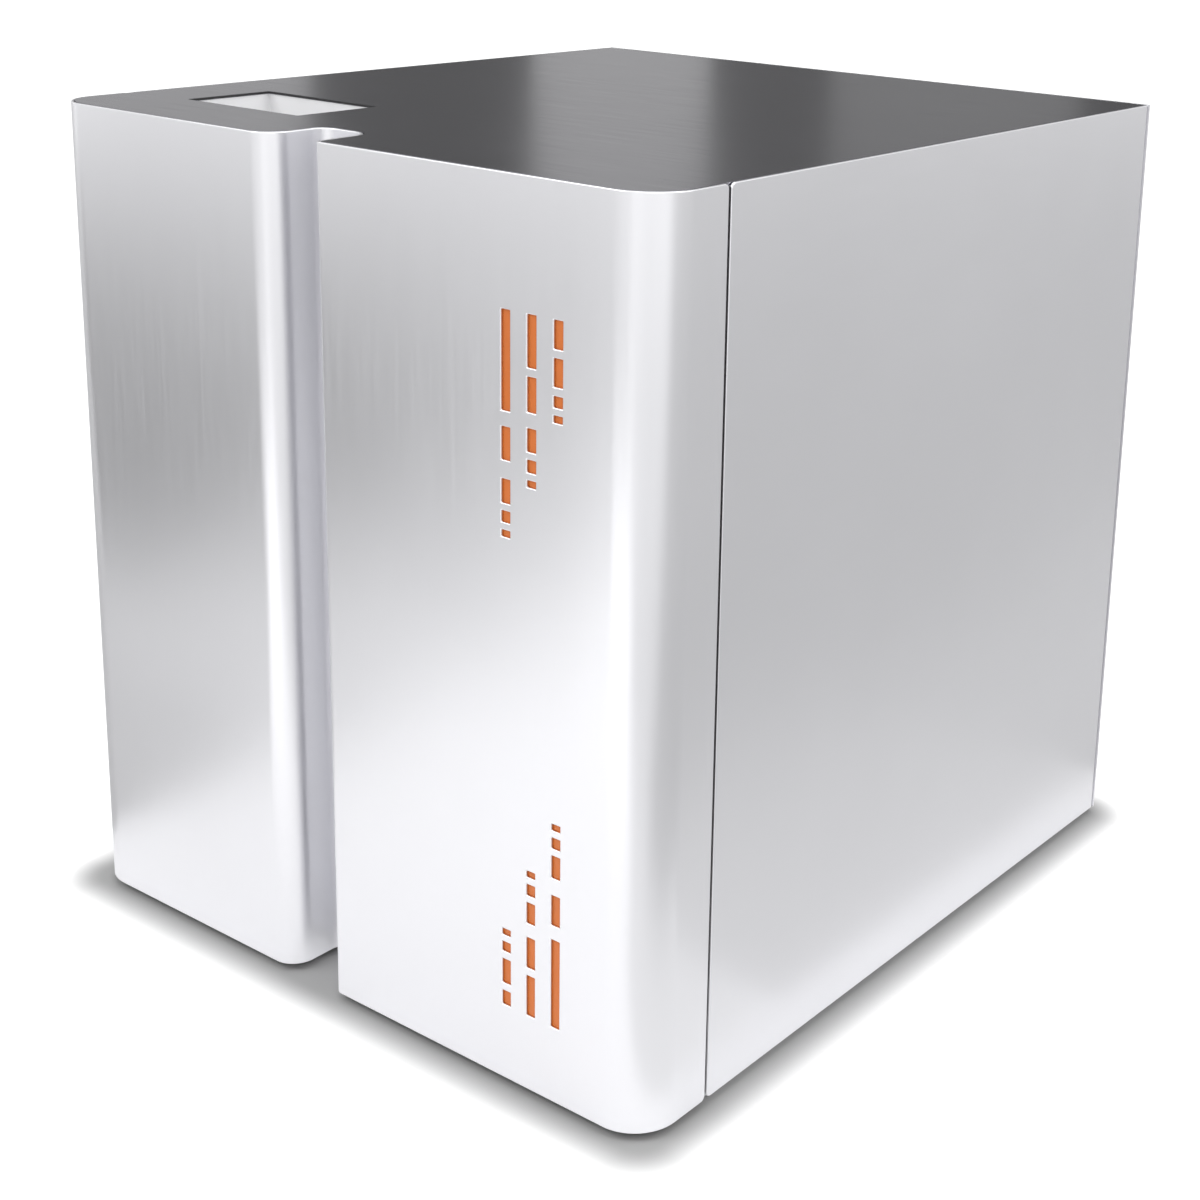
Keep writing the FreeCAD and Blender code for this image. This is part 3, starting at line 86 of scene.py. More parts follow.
def tinted(tree, source, first, second, target):
    ramp = addNode(tree, "ValToRGB")
    for element, place, colour in zip(ramp.color_ramp.elements, (0.3, 0.7), (first, second)):
        element.position = place
        element.color = (*colour, 1.0)
    tree.links.new(source, ramp.inputs["Fac"])
    tree.links.new(ramp.outputs["Color"], target)


def raised(tree, source, shader, depth, strength=1.0):
    bump = addNode(tree, "Bump", Strength=strength, Distance=depth)
    tree.links.new(source, bump.inputs["Height"])
    tree.links.new(bump.outputs["Normal"], shader.inputs["Normal"])


def shaded(colour, amount):
    return tuple(channel * amount for channel in colour)


def sheetMetal(name, colour, roughness, stretch, wear=0.03, spread=0.05, strength=0.25, metal=1.0):
    # satin sheet: fine grain along the rolling direction over a slow drift in gloss
    finish, tree, shader = startFinish(name, Metallic=metal)
    lines = grain(tree, 900, stretch, 3.0)
    drift = grain(tree, 7, (1, 1, 1), 2.0)
    tinted(tree, drift, shaded(colour, 1 - wear), colour, shader.inputs["Base Color"])
    between(tree, lines, roughness - spread, roughness + spread, shader.inputs["Roughness"])
    raised(tree, lines, shader, 0.00002, strength)
    return finish


def castMetal(name, colour, roughness, scale=500, depth=0.00005):
    finish, tree, shader = startFinish(name, Metallic=1.0)
    pits = grain(tree, scale)
    tinted(tree, pits, shaded(colour, 0.88), colour, shader.inputs["Base Color"])
    between(tree, pits, roughness - 0.08, roughness + 0.08, shader.inputs["Roughness"])
    raised(tree, pits, shader, depth, 0.4)
    return finish


def mouldedPlastic(name, colour, roughness, depth=0.00004, scale=1400, **sockets):
    # fine spark-eroded texture, a little lighter on its high spots
    finish, tree, shader = startFinish(name, **sockets)
    pebbles = grain(tree, scale, (1, 1, 1), 2.0)
    tinted(tree, pebbles, shaded(colour, 0.9), colour, shader.inputs["Base Color"])
    between(tree, pebbles, roughness - 0.07, roughness + 0.07, shader.inputs["Roughness"])
    raised(tree, pebbles, shader, depth, 0.5)
    return finish


def sprayedPaint(name, colour, roughness):
    finish, tree, shader = startFinish(name, Coat_Weight=0.3, Coat_Roughness=0.15)
    peel = grain(tree, 320, (1, 1, 1), 1.0)
    tinted(tree, grain(tree, 9), shaded(colour, 0.94), colour, shader.inputs["Base Color"])
    between(tree, peel, roughness - 0.05, roughness + 0.05, shader.inputs["Roughness"])
    raised(tree, peel, shader, 0.00006, 0.5)
    return finish


def clearPlastic(name, colour, roughness, **sockets):
    finish, tree, shader = startFinish(name, Transmission_Weight=1.0, IOR=1.49, **sockets)
    flow = grain(tree, 60, (1, 1, 0.2), 2.0)
    tinted(tree, flow, shaded(colour, 0.96), colour, shader.inputs["Base Color"])
    between(tree, flow, roughness, roughness + 0.05, shader.inputs["Roughness"])
    return finish


def pleatedMedia(name, colour):
    finish, tree, shader = startFinish(name)
    fibres = grain(tree, 700, (1, 1, 0.3), 5.0)
    tinted(tree, fibres, shaded(colour, 0.8), colour, shader.inputs["Base Color"])
    between(tree, fibres, 0.75, 0.95, shader.inputs["Roughness"])
    raised(tree, fibres, shader, 0.0003, 0.8)
    return finish


silver = (0.80, 0.80, 0.825)
finishes = {
    "fascia_metal": sheetMetal("fasciaSatin", silver, 0.33, (1, 1, 0.02), spread=0.02, strength=0.06),
    "panel_metal": sheetMetal("panelSatin", (0.78, 0.78, 0.805), 0.34, (1, 0.02, 1), spread=0.02,
                              strength=0.06),
    "cover_metal": sheetMetal("coverBrushed", (0.30, 0.297, 0.326), 0.22, (0.02, 1, 1), wear=0.06,
                              spread=0.03, strength=0.04),
    "frame_metal": sheetMetal("frameZinc", (0.62, 0.63, 0.64), 0.42, (0.05, 0.05, 1), wear=0.12),
    "well_metal": sheetMetal("wellSatin", (0.96, 0.96, 0.97), 0.2, (1, 1, 0.05), spread=0.04, strength=0.06,
                             metal=0.15),
    "backing_orange": sprayedPaint("backingOrange", (0.70, 0.165, 0.014), 0.5),
    "stud_steel": castMetal("studSteel", (0.72, 0.72, 0.72), 0.22),
    "catch_plastic": mouldedPlastic("catchNylon", (0.05, 0.05, 0.055), 0.45),
    "foot_rubber": mouldedPlastic("footRubber", (0.028, 0.028, 0.03), 0.78, depth=0.0001),
    "display_plastic": mouldedPlastic("displayHousing", (0.03, 0.03, 0.033), 0.4),
    "clear_glass": clearPlastic("displayGlass", (0.95, 0.96, 0.97), 0.02),
    "button_metal": castMetal("buttonSteel", (0.78, 0.78, 0.79), 0.25, 900),
    "bowl_plastic": clearPlastic("bowlPolycarbonate", (0.90, 0.94, 0.97), 0.04),
    "head_aluminium": castMetal("headAluminium", (0.66, 0.67, 0.69), 0.42, 420, 0.0001),
    "element_media": pleatedMedia("elementMedia", (0.84, 0.80, 0.70)),
    "knob_plastic": mouldedPlastic("knobPlastic", (0.035, 0.035, 0.038), 0.42),
    "needle_black": sprayedPaint("needleBlack", (0.02, 0.02, 0.02), 0.4),
    "gauge_steel": castMetal("gaugeSteel", (0.70, 0.70, 0.71), 0.24, 700),
    "dial_white": sprayedPaint("dialWhite", (0.86, 0.86, 0.84), 0.45),
    "cap_plastic": mouldedPlastic("capPlastic", (0.10, 0.11, 0.13), 0.45),
    "tank_paint": sprayedPaint("tankPaint", (0.30, 0.32, 0.35), 0.42),
    "coil_plastic": mouldedPlastic("coilPlastic", (0.045, 0.045, 0.05), 0.5),
    "tube_nylon": mouldedPlastic("tubeNylon", (0.05, 0.20, 0.55), 0.3, depth=0.00001),
    "fitting_brass": castMetal("fittingBrass", (0.72, 0.52, 0.26), 0.24, 600),
    "supply_steel": sheetMetal("supplyZinc", (0.66, 0.67, 0.68), 0.36, (1, 0.05, 1), wear=0.15),
    "board_green": sprayedPaint("boardMask", (0.02, 0.16, 0.07), 0.35),
    "fan_plastic": mouldedPlastic("fanPlastic", (0.03, 0.03, 0.033), 0.45),
    "inlet_plastic": mouldedPlastic("inletPlastic", (0.03, 0.03, 0.032), 0.35),
}
print("finishes made:", len(finishes))


# Shared steps
def makePiece(name, mesh, finish):
    data = bpy.data.meshes.new(name)
    mesh.to_mesh(data)
    mesh.free()
    piece = bpy.data.objects.new(name, data)
    bpy.context.scene.collection.objects.link(piece)
    data.materials.append(finish)
    return piece


def smoothTo(piece, angle):
    piece.data.shade_smooth()
    piece.data.set_sharp_from_angle(angle=math.radians(angle))


def softenEdges(piece, width, segments=2, angle=35):
    smoothTo(piece, angle)
    edges = piece.modifiers.new("edges", "BEVEL")
    edges.width = width
    edges.segments = segments
    edges.limit_method = "ANGLE"
    edges.angle_limit = math.radians(angle)
    edges.harden_normals = True
    return piece


def standFor(piece, slot, *nodes):
    # the piece takes the place of these nodes, on the body that carries them
    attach(piece, bodyOfNode[nodes[0]])
    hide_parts(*nodes)
    return piece


def mergedCopy(node):
    mesh = bmesh.new()
    mesh.from_mesh(cadNodes[node].data)
    bmesh.ops.remove_doubles(mesh, verts=mesh.verts, dist=1e-6)
    bmesh.ops.dissolve_limit(mesh, angle_limit=math.radians(0.5), verts=mesh.verts, edges=mesh.edges)
    return mesh


def withoutNormals(piece):
    # the CAD's own normals go, so that smooth shading can work
    if "custom_normal" in piece.data.attributes:
        piece.data.attributes.remove(piece.data.attributes["custom_normal"])
    return piece


def dressedNode(node, slot, width=0.0003, segments=2, angle=35):
    piece = withoutNormals(makePiece(node + "_dressed", mergedCopy(node), finishes[slot]))
    softenEdges(piece, width, segments, angle)
    return standFor(piece, slot, node)


def addBox(mesh, low, high):
    low, high = Vector(low), Vector(high)
    made = bmesh.ops.create_cube(mesh, size=1)["verts"]
    bmesh.ops.scale(mesh, vec=high - low, verts=made)
    bmesh.ops.translate(mesh, vec=(low + high) / 2, verts=made)
    return made


def partsOf(grown, kind):
    return [part for part in grown if isinstance(part, kind)]


def fillFlat(mesh, edges):
    bmesh.ops.triangle_fill(mesh, edges=edges, use_beauty=True, use_dissolve=False, normal=(0, 0, 1))


def boxMesh(low, high):
    mesh = bmesh.new()
    addBox(mesh, low, high)
    return mesh


# Camera at the photograph's angle
viewSet = {"place": (0.735678, -0.886493, 0.604181), "yaw": 36.4022, "pitch": 14.9625, "roll": 1.7096,
           "lens": 60.663, "shiftX": -0.12, "shiftY": -0.18}


def makeCamera():
    yaw, pitch, roll = (math.radians(viewSet[turn]) for turn in ("yaw", "pitch", "roll"))
    ahead = Vector((-math.sin(yaw) * math.cos(pitch), math.cos(yaw) * math.cos(pitch), -math.sin(pitch)))
    level = Vector((math.cos(yaw), math.sin(yaw), 0))
    upright = level.cross(ahead)
    right = level * math.cos(roll) + upright * math.sin(roll)
    above = upright * math.cos(roll) - level * math.sin(roll)
    lens = bpy.data.cameras.new("camera")
    lens.lens = viewSet["lens"]
    lens.sensor_width = 36
    lens.shift_x = viewSet["shiftX"]
    lens.shift_y = viewSet["shiftY"]
    camera = bpy.data.objects.new("camera", lens)
    bpy.context.scene.collection.objects.link(camera)
    turned = Matrix((right, above, -ahead)).transposed().to_4x4()
    camera.matrix_world = Matrix.Translation(viewSet["place"]) @ turned
    bpy.context.scene.camera = camera


# Studio: floor, world, lamps and cards
# the floor's painted shadow round the object's outline and its painted shade near the object, seen in
# reflections, are set here
studio = {"floorSize": 24, "floorTone": 0.80, "floorLift": 0.25, "liftFrom": 0.5, "liftTo": 1.3,
          "roomTone": 0.60, "shadowBandMiddle": (0, -0.006, 0), "shadowBandHalf": (0.2, 0.221, 0), "shadowBandFrom": 0.010,
          "shadowBandTo": 0.044, "seenTone": 0.4}
lamps = [
    {"name": "keyLamp", "place": (-1.3, -1.9, 2.3), "size": 1.8, "power": 26},
    {"name": "nearLamp", "place": (1.5, -1.5, 1.5), "size": 0.9, "power": 9},
    {"name": "sideLamp", "place": (2.2, 0.9, 1.9), "size": 1.6, "power": 14},
    {"name": "overLamp", "place": (0.1, 0.2, 2.8), "size": 2.4, "power": 24},
]
# glowing cards on the floor that only the metal's gloss sees, each a painted reflection in the cabinet's
# faces
floorCards = [
    {"name": "frontCard", "low": (-3.0, -1.4), "high": (-0.60, -0.50), "tone": 0.25},
    {"name": "leftCard", "low": (-0.59, -0.62), "high": (-0.25, -0.30), "tone": 0.86},
    {"name": "mainCard", "low": (-0.59, -1.1), "high": (-0.28, -0.64), "tone": 0.69},
    {"name": "farCard", "low": (-3.4, -3.4), "high": (0.3, -1.2), "tone": 0.69},
    {"name": "cornerCard", "low": (0.32, -2.6), "high": (2.4, -0.46), "tone": 0.90},
    {"name": "nearCornerCard", "low": (0.24, -0.45), "high": (0.42, -0.10), "tone": 0.97},
    {"name": "nearSideCard", "low": (0.24, -0.09), "high": (0.42, 1.4), "tone": 0.78},
    {"name": "sideCard", "low": (0.43, -0.45), "high": (5.0, 6.0), "tone": 0.585},
    {"name": "leftSideCard", "low": (-5.0, -0.45), "high": (-0.26, 6.0), "tone": 0.58},
    {"name": "rearCard", "low": (-0.25, 0.28), "high": (0.41, 6.0), "tone": 0.62},
]
# glowing cards standing behind the object, turned about the camera's place: the dark top shows them as
# painted reflection bands, given in degrees off the view's middle
backCards = {"reach": 3.4, "height": 2.6, "bands": (
    (-34, -12.3, 0.52), (-12.3, -6.2, 0.13), (-6.2, -1.2, 0.54), (-1.2, 2.2, 0.14), (2.2, 9.2, 0.29),
    (9.2, 26, 0.13))}


def makeFloor():
    mesh = bmesh.new()
    bmesh.ops.create_grid(mesh, x_segments=2, y_segments=2, size=studio["floorSize"] / 2)
    paper, tree, shader = startFinish("floorPaper", Roughness=0.9, Specular_IOR_Level=0.1)
    tone = studio["floorTone"]
    shader.inputs["Base Color"].default_value = (tone, tone, tone, 1)
    shader.inputs["Emission Color"].default_value = (1, 1, 1, 1)
    # painted shadow: the paper's glow rises with the distance from the object's outline, so a grey band of
    # painted shadow stays at its foot; for glossy rays the glow rises with the distance from the middle, a
    # painted shade round the object in the metal's reflections
    coords = addNode(tree, "TexCoord")
    spot = coords.outputs["Object"]
    for step, amount in (("SUBTRACT", studio["shadowBandMiddle"]), ("ABSOLUTE", None),
                         ("SUBTRACT", studio["shadowBandHalf"]), ("MAXIMUM", (0, 0, 0))):
        part = addNode(tree, "VectorMath")
        part.operation = step
        tree.links.new(spot, part.inputs[0])
        if amount:
            part.inputs[1].default_value = amount
        spot = part.outputs["Vector"]
    rays = addNode(tree, "LightPath")
    total = None
    for source, start, end, low, ray in ((spot, studio["shadowBandFrom"], studio["shadowBandTo"], 0.0, "Is Camera Ray"),
                                         (coords.outputs["Object"], studio["liftFrom"], studio["liftTo"],
                                          studio["floorLift"], "Is Glossy Ray")):
        away = addNode(tree, "VectorMath")
        away.operation = "LENGTH"
        rise = addNode(tree, "MapRange", From_Min=start, From_Max=end, To_Min=low, To_Max=1.0)
        rise.interpolation_type = "SMOOTHSTEP" if ray == "Is Camera Ray" else "LINEAR"
        lift = addNode(tree, "Math")
        lift.operation = "MULTIPLY" if total is None else "MULTIPLY_ADD"
        tree.links.new(source, away.inputs[0])
        tree.links.new(away.outputs["Value"], rise.inputs["Value"])
        tree.links.new(rise.outputs["Result"], lift.inputs[0])
        tree.links.new(rays.outputs[ray], lift.inputs[1])
        if total is not None:
            tree.links.new(total, lift.inputs[2])
        total = lift.outputs["Value"]
    tree.links.new(total, shader.inputs["Emission Strength"])
    # the camera sees a darker paper under that light than the object gets its light from, so the painted
    # shadow at its foot reads dark
    dim = addNode(tree, "MapRange", To_Min=tone, To_Max=studio["seenTone"])
    tree.links.new(rays.outputs["Is Camera Ray"], dim.inputs["Value"])
    tree.links.new(dim.outputs["Result"], shader.inputs["Base Color"])
    floor = makePiece("floor", mesh, paper)


def seenRays(tree):
    # 1 for rays from the camera and for those that metal and glass send on
    path = addNode(tree, "LightPath")
    total = path.outputs["Is Camera Ray"]
    for ray in ("Is Glossy Ray", "Is Transmission Ray"):
        add = addNode(tree, "Math")
        add.operation = "MAXIMUM"
        tree.links.new(total, add.inputs[0])
        tree.links.new(path.outputs[ray], add.inputs[1])
        total = add.outputs["Value"]
    return total


def makeWorld():
    world = bpy.data.worlds.new("room")
    bpy.context.scene.world = world
    world.use_nodes = True
    tree = world.node_tree
    room = tree.nodes["Background"]
    tone = studio["roomTone"]
    room.inputs["Color"].default_value = (tone, tone, tone, 1)
    paper = addNode(tree, "Background", Color=(1, 1, 1, 1))
    mix = addNode(tree, "MixShader")
    tree.links.new(seenRays(tree), mix.inputs["Fac"])
    tree.links.new(room.outputs["Background"], mix.inputs[1])
    tree.links.new(paper.outputs["Background"], mix.inputs[2])
    tree.links.new(mix.outputs["Shader"], tree.nodes["World Output"].inputs["Surface"])


def makeLamps():
    aim = Vector((0, 0, 0.22))
    for lamp in lamps:
        light = bpy.data.lights.new(lamp["name"], "AREA")
        light.shape = "DISK"
        light.size = lamp["size"]
        light.energy = lamp["power"]
        holder = bpy.data.objects.new(lamp["name"], light)
        bpy.context.scene.collection.objects.link(holder)
        holder.location = lamp["place"]
        holder.rotation_euler = (aim - Vector(lamp["place"])).to_track_quat("-Z", "Y").to_euler()


def reflectionCard(name, tone, mesh):
    # a glowing card that only the metal's gloss sees: a painted reflection, which lights nothing and casts no
    # shadow
    paper = startFinish(name + "Paper", Base_Color=(0, 0, 0), Roughness=1.0, Specular_IOR_Level=0.0,
                        Emission_Color=(tone, tone, tone), Emission_Strength=1.0)
    card = makePiece(name, mesh, paper[0])
    for ray in ("camera", "diffuse", "shadow", "transmission", "volume_scatter"):
        setattr(card, "visible_" + ray, False)


def makeCards():
    for card in floorCards:
        reflectionCard(card["name"], card["tone"], boxMesh((*card["low"], 0.001), (*card["high"], 0.002)))
    for index, (left, right, tone) in enumerate(backCards["bands"]):
        turn = math.radians(viewSet["yaw"] - (left + right) / 2)
        half = backCards["reach"] * math.tan(math.radians((right - left) / 2))
        mesh = boxMesh((-half, backCards["reach"], 0), (half, backCards["reach"] + 0.01, backCards["height"]))
        bmesh.ops.rotate(mesh, verts=mesh.verts, matrix=Matrix.Rotation(turn, 3, "Z"))
        bmesh.ops.translate(mesh, verts=mesh.verts, vec=(viewSet["place"][0], viewSet["place"][1], 0))
        reflectionCard("backCard" + str(index), tone, mesh)


bpy.context.scene.view_settings.view_transform = "Standard"
makeCamera()
makeFloor()
makeWorld()
makeLamps()
makeCards()
print("studio ready")


# Plan of the cabinet's front: its corners with the radius of each bend
cabinet = {"width": 0.420, "front": -0.237, "foot": 0.004, "top": 0.461, "sheet": 0.0015, "wrap": 0.0486,
           "corner": 0.025, "grooveLeft": -0.036, "grooveRight": -0.003, "slant": 0.002, "cabinet": -0.2005,
           "lip": 0.014, "rootBend": 0.009, "edgeBend": 0.0045}


def frontPlan(inset, depthEnd):
    half = cabinet["width"] / 2 - inset
    face = cabinet["front"] + inset
    root = cabinet["cabinet"] + inset
    left = cabinet["grooveLeft"] - inset
    right = cabinet["grooveRight"] + inset
    corner = cabinet["corner"] - inset
    return [((-half, depthEnd), 0), ((-half, face), corner), ((left, face), cabinet["lip"] - inset),
            ((left, root), cabinet["rootBend"] + inset),
            ((right - cabinet["slant"], root), cabinet["rootBend"] + inset),
            ((right, face), cabinet["edgeBend"] - inset), ((half, face), corner), ((half, depthEnd), 0)]


def roundCorners(mesh, corners, steps):
    # corners are pairs of a vertex and its radius
    for vert, radius in corners:
        ahead = [(edge.other_vert(vert).co - vert.co).normalized()
                 for edge in vert.link_edges if edge.is_boundary]
        reach = radius / math.tan(ahead[0].angle(ahead[1]) / 2)
        bmesh.ops.bevel(mesh, geom=[vert], offset=reach, offset_type="OFFSET", segments=steps, profile=0.5,
                        affect="VERTICES", material=-1)


def planFace(mesh, plan, height, steps=14):
    # a flat face through the plan's corners, with its bends rounded
    verts = [mesh.verts.new((*spot, height)) for spot, radius in plan]
    mesh.faces.new(verts)
    roundCorners(mesh, [(vert, radius) for vert, (spot, radius) in zip(verts, plan) if radius], steps)


def cutAcross(mesh, faces, axis, place):
    # cuts these faces with a plane square to an axis, and gives back all that they became
    normal = Vector([1.0 if step == axis else 0.0 for step in range(3)])
    parts = set(faces)
    for face in faces:
        parts.update(face.edges)
        parts.update(face.verts)
    found = bmesh.ops.bisect_plane(mesh, geom=list(parts), dist=1e-7, plane_co=normal * place,
                                   plane_no=normal)
    return partsOf(found["geom"], bmesh.types.BMFace)


# Slots of the fascia, in metres up from its foot: the first of each run is the longest
slotSet = {"width": 0.0055, "pitch": 0.016, "middle": 0.138, "foot": 0.0412, "head": 0.3862, "last": 0.0034,
           "tall": (0.0475, 0.016, 0.0118, 0.0057), "tallGaps": (0.0076, 0.0091, 0.0037, 0.0037),
           "middleRun": (0.0166, 0.0112, 0.0061), "middleGaps": (0.0042, 0.0076, 0.0037, 0.0037),
           "shortRun": (0.0133, 0.0053), "shortGaps": (0.0042, 0.0042, 0.0037),
           "upperMiddle": 0.0247, "lowerMiddle": 0.022, "upperShort": 0.0133, "lowerShort": 0.0078}


def slotSpans(start, way, lengths, gaps):
    # the low and high end of each slot in a run from its outer end inwards
    spans = []
    for length, gap in zip(lengths, [*gaps, 0]):
        end = start + way * length
        spans.append((min(start, end), max(start, end)))
        start = end + way * gap
    return spans


def slotColumns():
    last = (slotSet["last"],)
    tall = slotSet["tall"] + last
    middle = slotSet["middleRun"] + last
    short = slotSet["shortRun"] + last
    head = cabinet["foot"] + slotSet["head"] + 0.0084
    foot = cabinet["foot"] + slotSet["foot"]
    upper = [(tall, slotSet["tallGaps"]), ((slotSet["upperMiddle"],) + middle, slotSet["middleGaps"]),
             ((slotSet["upperShort"],) + short, slotSet["shortGaps"])]
    lower = [((slotSet["lowerShort"],) + short, slotSet["shortGaps"]),
             ((slotSet["lowerMiddle"],) + middle, slotSet["middleGaps"]), (tall, slotSet["tallGaps"])]
    columns = []
    for step in range(3):
        centre = slotSet["middle"] + (step - 1) * slotSet["pitch"]
        spans = slotSpans(head, -1, *upper[step]) + slotSpans(foot, 1, *lower[step])
        columns.append((centre, spans))
    return columns


def punchSlots(mesh, face):
    # strips the main face at each column's sides, then cuts each strip at its slots' ends
    half = slotSet["width"] / 2
    faces = [face]
    for centre, spans in slotColumns():
        for side in (-half, half):
            faces = cutAcross(mesh, faces, 0, centre + side)
    for centre, spans in slotColumns():
        strip = [face for face in faces if abs(face.calc_center_bounds().x - centre) < half]
        faces = [face for face in faces if face not in strip]
        for end in sorted(end for span in spans for end in span):
            strip = cutAcross(mesh, strip, 2, end)
        holes = [face for face in strip if any(low < face.calc_center_bounds().z < high
                                               for low, high in spans)]
        bmesh.ops.delete(mesh, geom=holes, context="FACES")


def makeFascia():
    mesh = bmesh.new()
    wrapEnd = cabinet["front"] + cabinet["wrap"]
    planFace(mesh, frontPlan(0, wrapEnd), cabinet["foot"])
    floorFace = list(mesh.faces)
    line = [edge for edge in mesh.edges if not all(abs(vert.co.y - wrapEnd) < 1e-6 for vert in edge.verts)]
    grown = bmesh.ops.extrude_edge_only(mesh, edges=line)["geom"]
    rise = cabinet["top"] - cabinet["foot"]
    bmesh.ops.translate(mesh, verts=partsOf(grown, bmesh.types.BMVert), vec=(0, 0, rise))
    bmesh.ops.delete(mesh, geom=floorFace, context="FACES")
    ends = [vert for vert in mesh.verts if abs(vert.co.y - wrapEnd) < 1e-6]
    roundCorners(mesh, [(vert, 0.003) for vert in ends], 5)
    front = max((face for face in mesh.faces if abs(face.normal.y) > 0.99), key=lambda face: face.calc_area())
    if front.normal.y > 0:
        bmesh.ops.reverse_faces(mesh, faces=mesh.faces)
    punchSlots(mesh, front)
    piece = makePiece("fascia_sheet", mesh, finishes["fascia_metal"])
    smoothTo(piece, 30)
    wall = piece.modifiers.new("wall", "SOLIDIFY")
    wall.thickness = cabinet["sheet"]
    wall.offset = -1
    wall.use_even_offset = True
    softenEdges(piece, 0.0006, 3, 40)
    standFor(piece, "fascia_metal", "front_fascia")


makeFascia()
print("fascia made")


# Top cover: it follows the fascia's plan, with the control well's opening in it
coverSet = {"inset": 0.0019, "back": 0.2217, "thick": 0.0015}
wellSet = {"left": -0.1654, "right": -0.0764, "front": -0.183, "back": -0.1255, "corner": 0.002}


def makeCover():
    mesh = bmesh.new()
    planFace(mesh, frontPlan(coverSet["inset"], coverSet["back"]), cabinet["top"])
    rim = [mesh.verts.new((x, y, cabinet["top"])) for x, y in (
        (wellSet["left"], wellSet["front"]), (wellSet["right"], wellSet["front"]),
        (wellSet["right"], wellSet["back"]), (wellSet["left"], wellSet["back"]))]
    mesh.faces.new(rim)
    roundCorners(mesh, [(vert, wellSet["corner"]) for vert in rim], 4)
    bmesh.ops.delete(mesh, geom=list(mesh.faces), context="FACES_ONLY")
    fillFlat(mesh, list(mesh.edges))
    bmesh.ops.recalc_face_normals(mesh, faces=mesh.faces)
    if sum(face.normal.z for face in mesh.faces) < 0:
        bmesh.ops.reverse_faces(mesh, faces=mesh.faces)
    piece = makePiece("cover_sheet", mesh, finishes["cover_metal"])
    wall = piece.modifiers.new("wall", "SOLIDIFY")
    wall.thickness = coverSet["thick"]
    wall.offset = -1
    softenEdges(piece, 0.0002, 2, 40)
    standFor(piece, "cover_metal", "top_cover")


makeCover()
print("cover made")


# Parts modelled once about their own foot, then stamped where the frame has them
def nodeBox(node):
    corners = [Vector(corner) for corner in cadNodes[node].bound_box]
    return [Vector([pick(corner[axis] for corner in corners) for axis in range(3)]) for pick in (min, max)]


def islandBoxes(node):
    # the low and high corner of each separate solid in a node
    mesh = mergedCopy(node)
    left = set(mesh.verts)
    boxes = []
    while left:
        pile = [left.pop()]
        solid = []
        while pile:
            vert = pile.pop()
            solid.append(vert.co.copy())
            for edge in vert.link_edges:
                other = edge.other_vert(vert)
                if other in left:
                    left.remove(other)
                    pile.append(other)
        boxes.append([Vector([pick(spot[axis] for spot in solid) for axis in range(3)])
                      for pick in (min, max)])
    mesh.free()
    return sorted(boxes, key=lambda box: [round(side, 4) for side in box[0]])


def stamp(mesh, part, place, axis=(0, 0, 1), spin=0.0):
    # adds a copy of a part, with its Z along an axis and turned about it
    count = len(mesh.verts)
    mesh.from_mesh(part)
    mesh.verts.ensure_lookup_table()
    turn = Vector(axis).to_track_quat("Z", "Y").to_matrix().to_4x4() @ Matrix.Rotation(spin, 4, "Z")
    bmesh.ops.transform(mesh, matrix=Matrix.Translation(place) @ turn, verts=mesh.verts[count:])


def asPart(mesh, name):
    bmesh.ops.recalc_face_normals(mesh, faces=mesh.faces)
    part = bpy.data.meshes.new(name)
    mesh.to_mesh(part)
    mesh.free()
    return part


def addTurned(mesh, profile, foot=(0, 0, 0), axis=(0, 0, 1), steps=48):
    # a turned shape from (radius, height) pairs
    axis = Vector(axis)
    foot = Vector(foot)
    out = axis.orthogonal().normalized()
    before = set(mesh.verts)
    verts = [mesh.verts.new(foot + out * radius + axis * height) for radius, height in profile]
    edges = [mesh.edges.new(pair) for pair in zip(verts, verts[1:])]
    bmesh.ops.spin(mesh, geom=verts + edges, cent=foot, axis=axis, angle=math.tau, steps=steps,
                   use_merge=True)
    fresh = [vert for vert in mesh.verts if vert not in before]
    bmesh.ops.remove_doubles(mesh, verts=fresh, dist=1e-7)


def addTurnedBox(mesh, low, high, turn, axis, place=(0, 0, 0)):
    # a box turned about an axis through the origin, then carried to its place
    made = addBox(mesh, low, high)
    bmesh.ops.rotate(mesh, verts=made, matrix=Matrix.Rotation(turn, 3, axis))
    bmesh.ops.translate(mesh, verts=made, vec=place)


def roundBoxes(node):
    # the middle, radius and corners of each round solid in a node
    return [((low + high) / 2, (high.x - low.x) / 2, low, high) for low, high in islandBoxes(node)]


def roundBox(node):
    low, high = nodeBox(node)
    return (low + high) / 2, (high.x - low.x) / 2, low, high


def cornerSpots(low, high, inset):
    return [(x, y, high.z) for x in (low.x + inset, high.x - inset) for y in (low.y + inset, high.y - inset)]


def addLoop(mesh, spots):
    verts = [mesh.verts.new(spot) for spot in spots]
    return [mesh.edges.new((vert, verts[index - 1])) for index, vert in enumerate(verts)]


def circleSpots(radius, height, count):
    return [(radius * math.cos(math.tau * step / count), radius * math.sin(math.tau * step / count), height)
            for step in range(count)]


def pushLoop(mesh, edges, rise, grow=1.0):
    # carries a closed loop of edges on by one ring of faces
    grown = bmesh.ops.extrude_edge_only(mesh, edges=edges)["geom"]
    verts = partsOf(grown, bmesh.types.BMVert)
    bmesh.ops.scale(mesh, vec=(grow, grow, 1), verts=verts)
    bmesh.ops.translate(mesh, vec=(0, 0, rise), verts=verts)
    return partsOf(grown, bmesh.types.BMEdge)


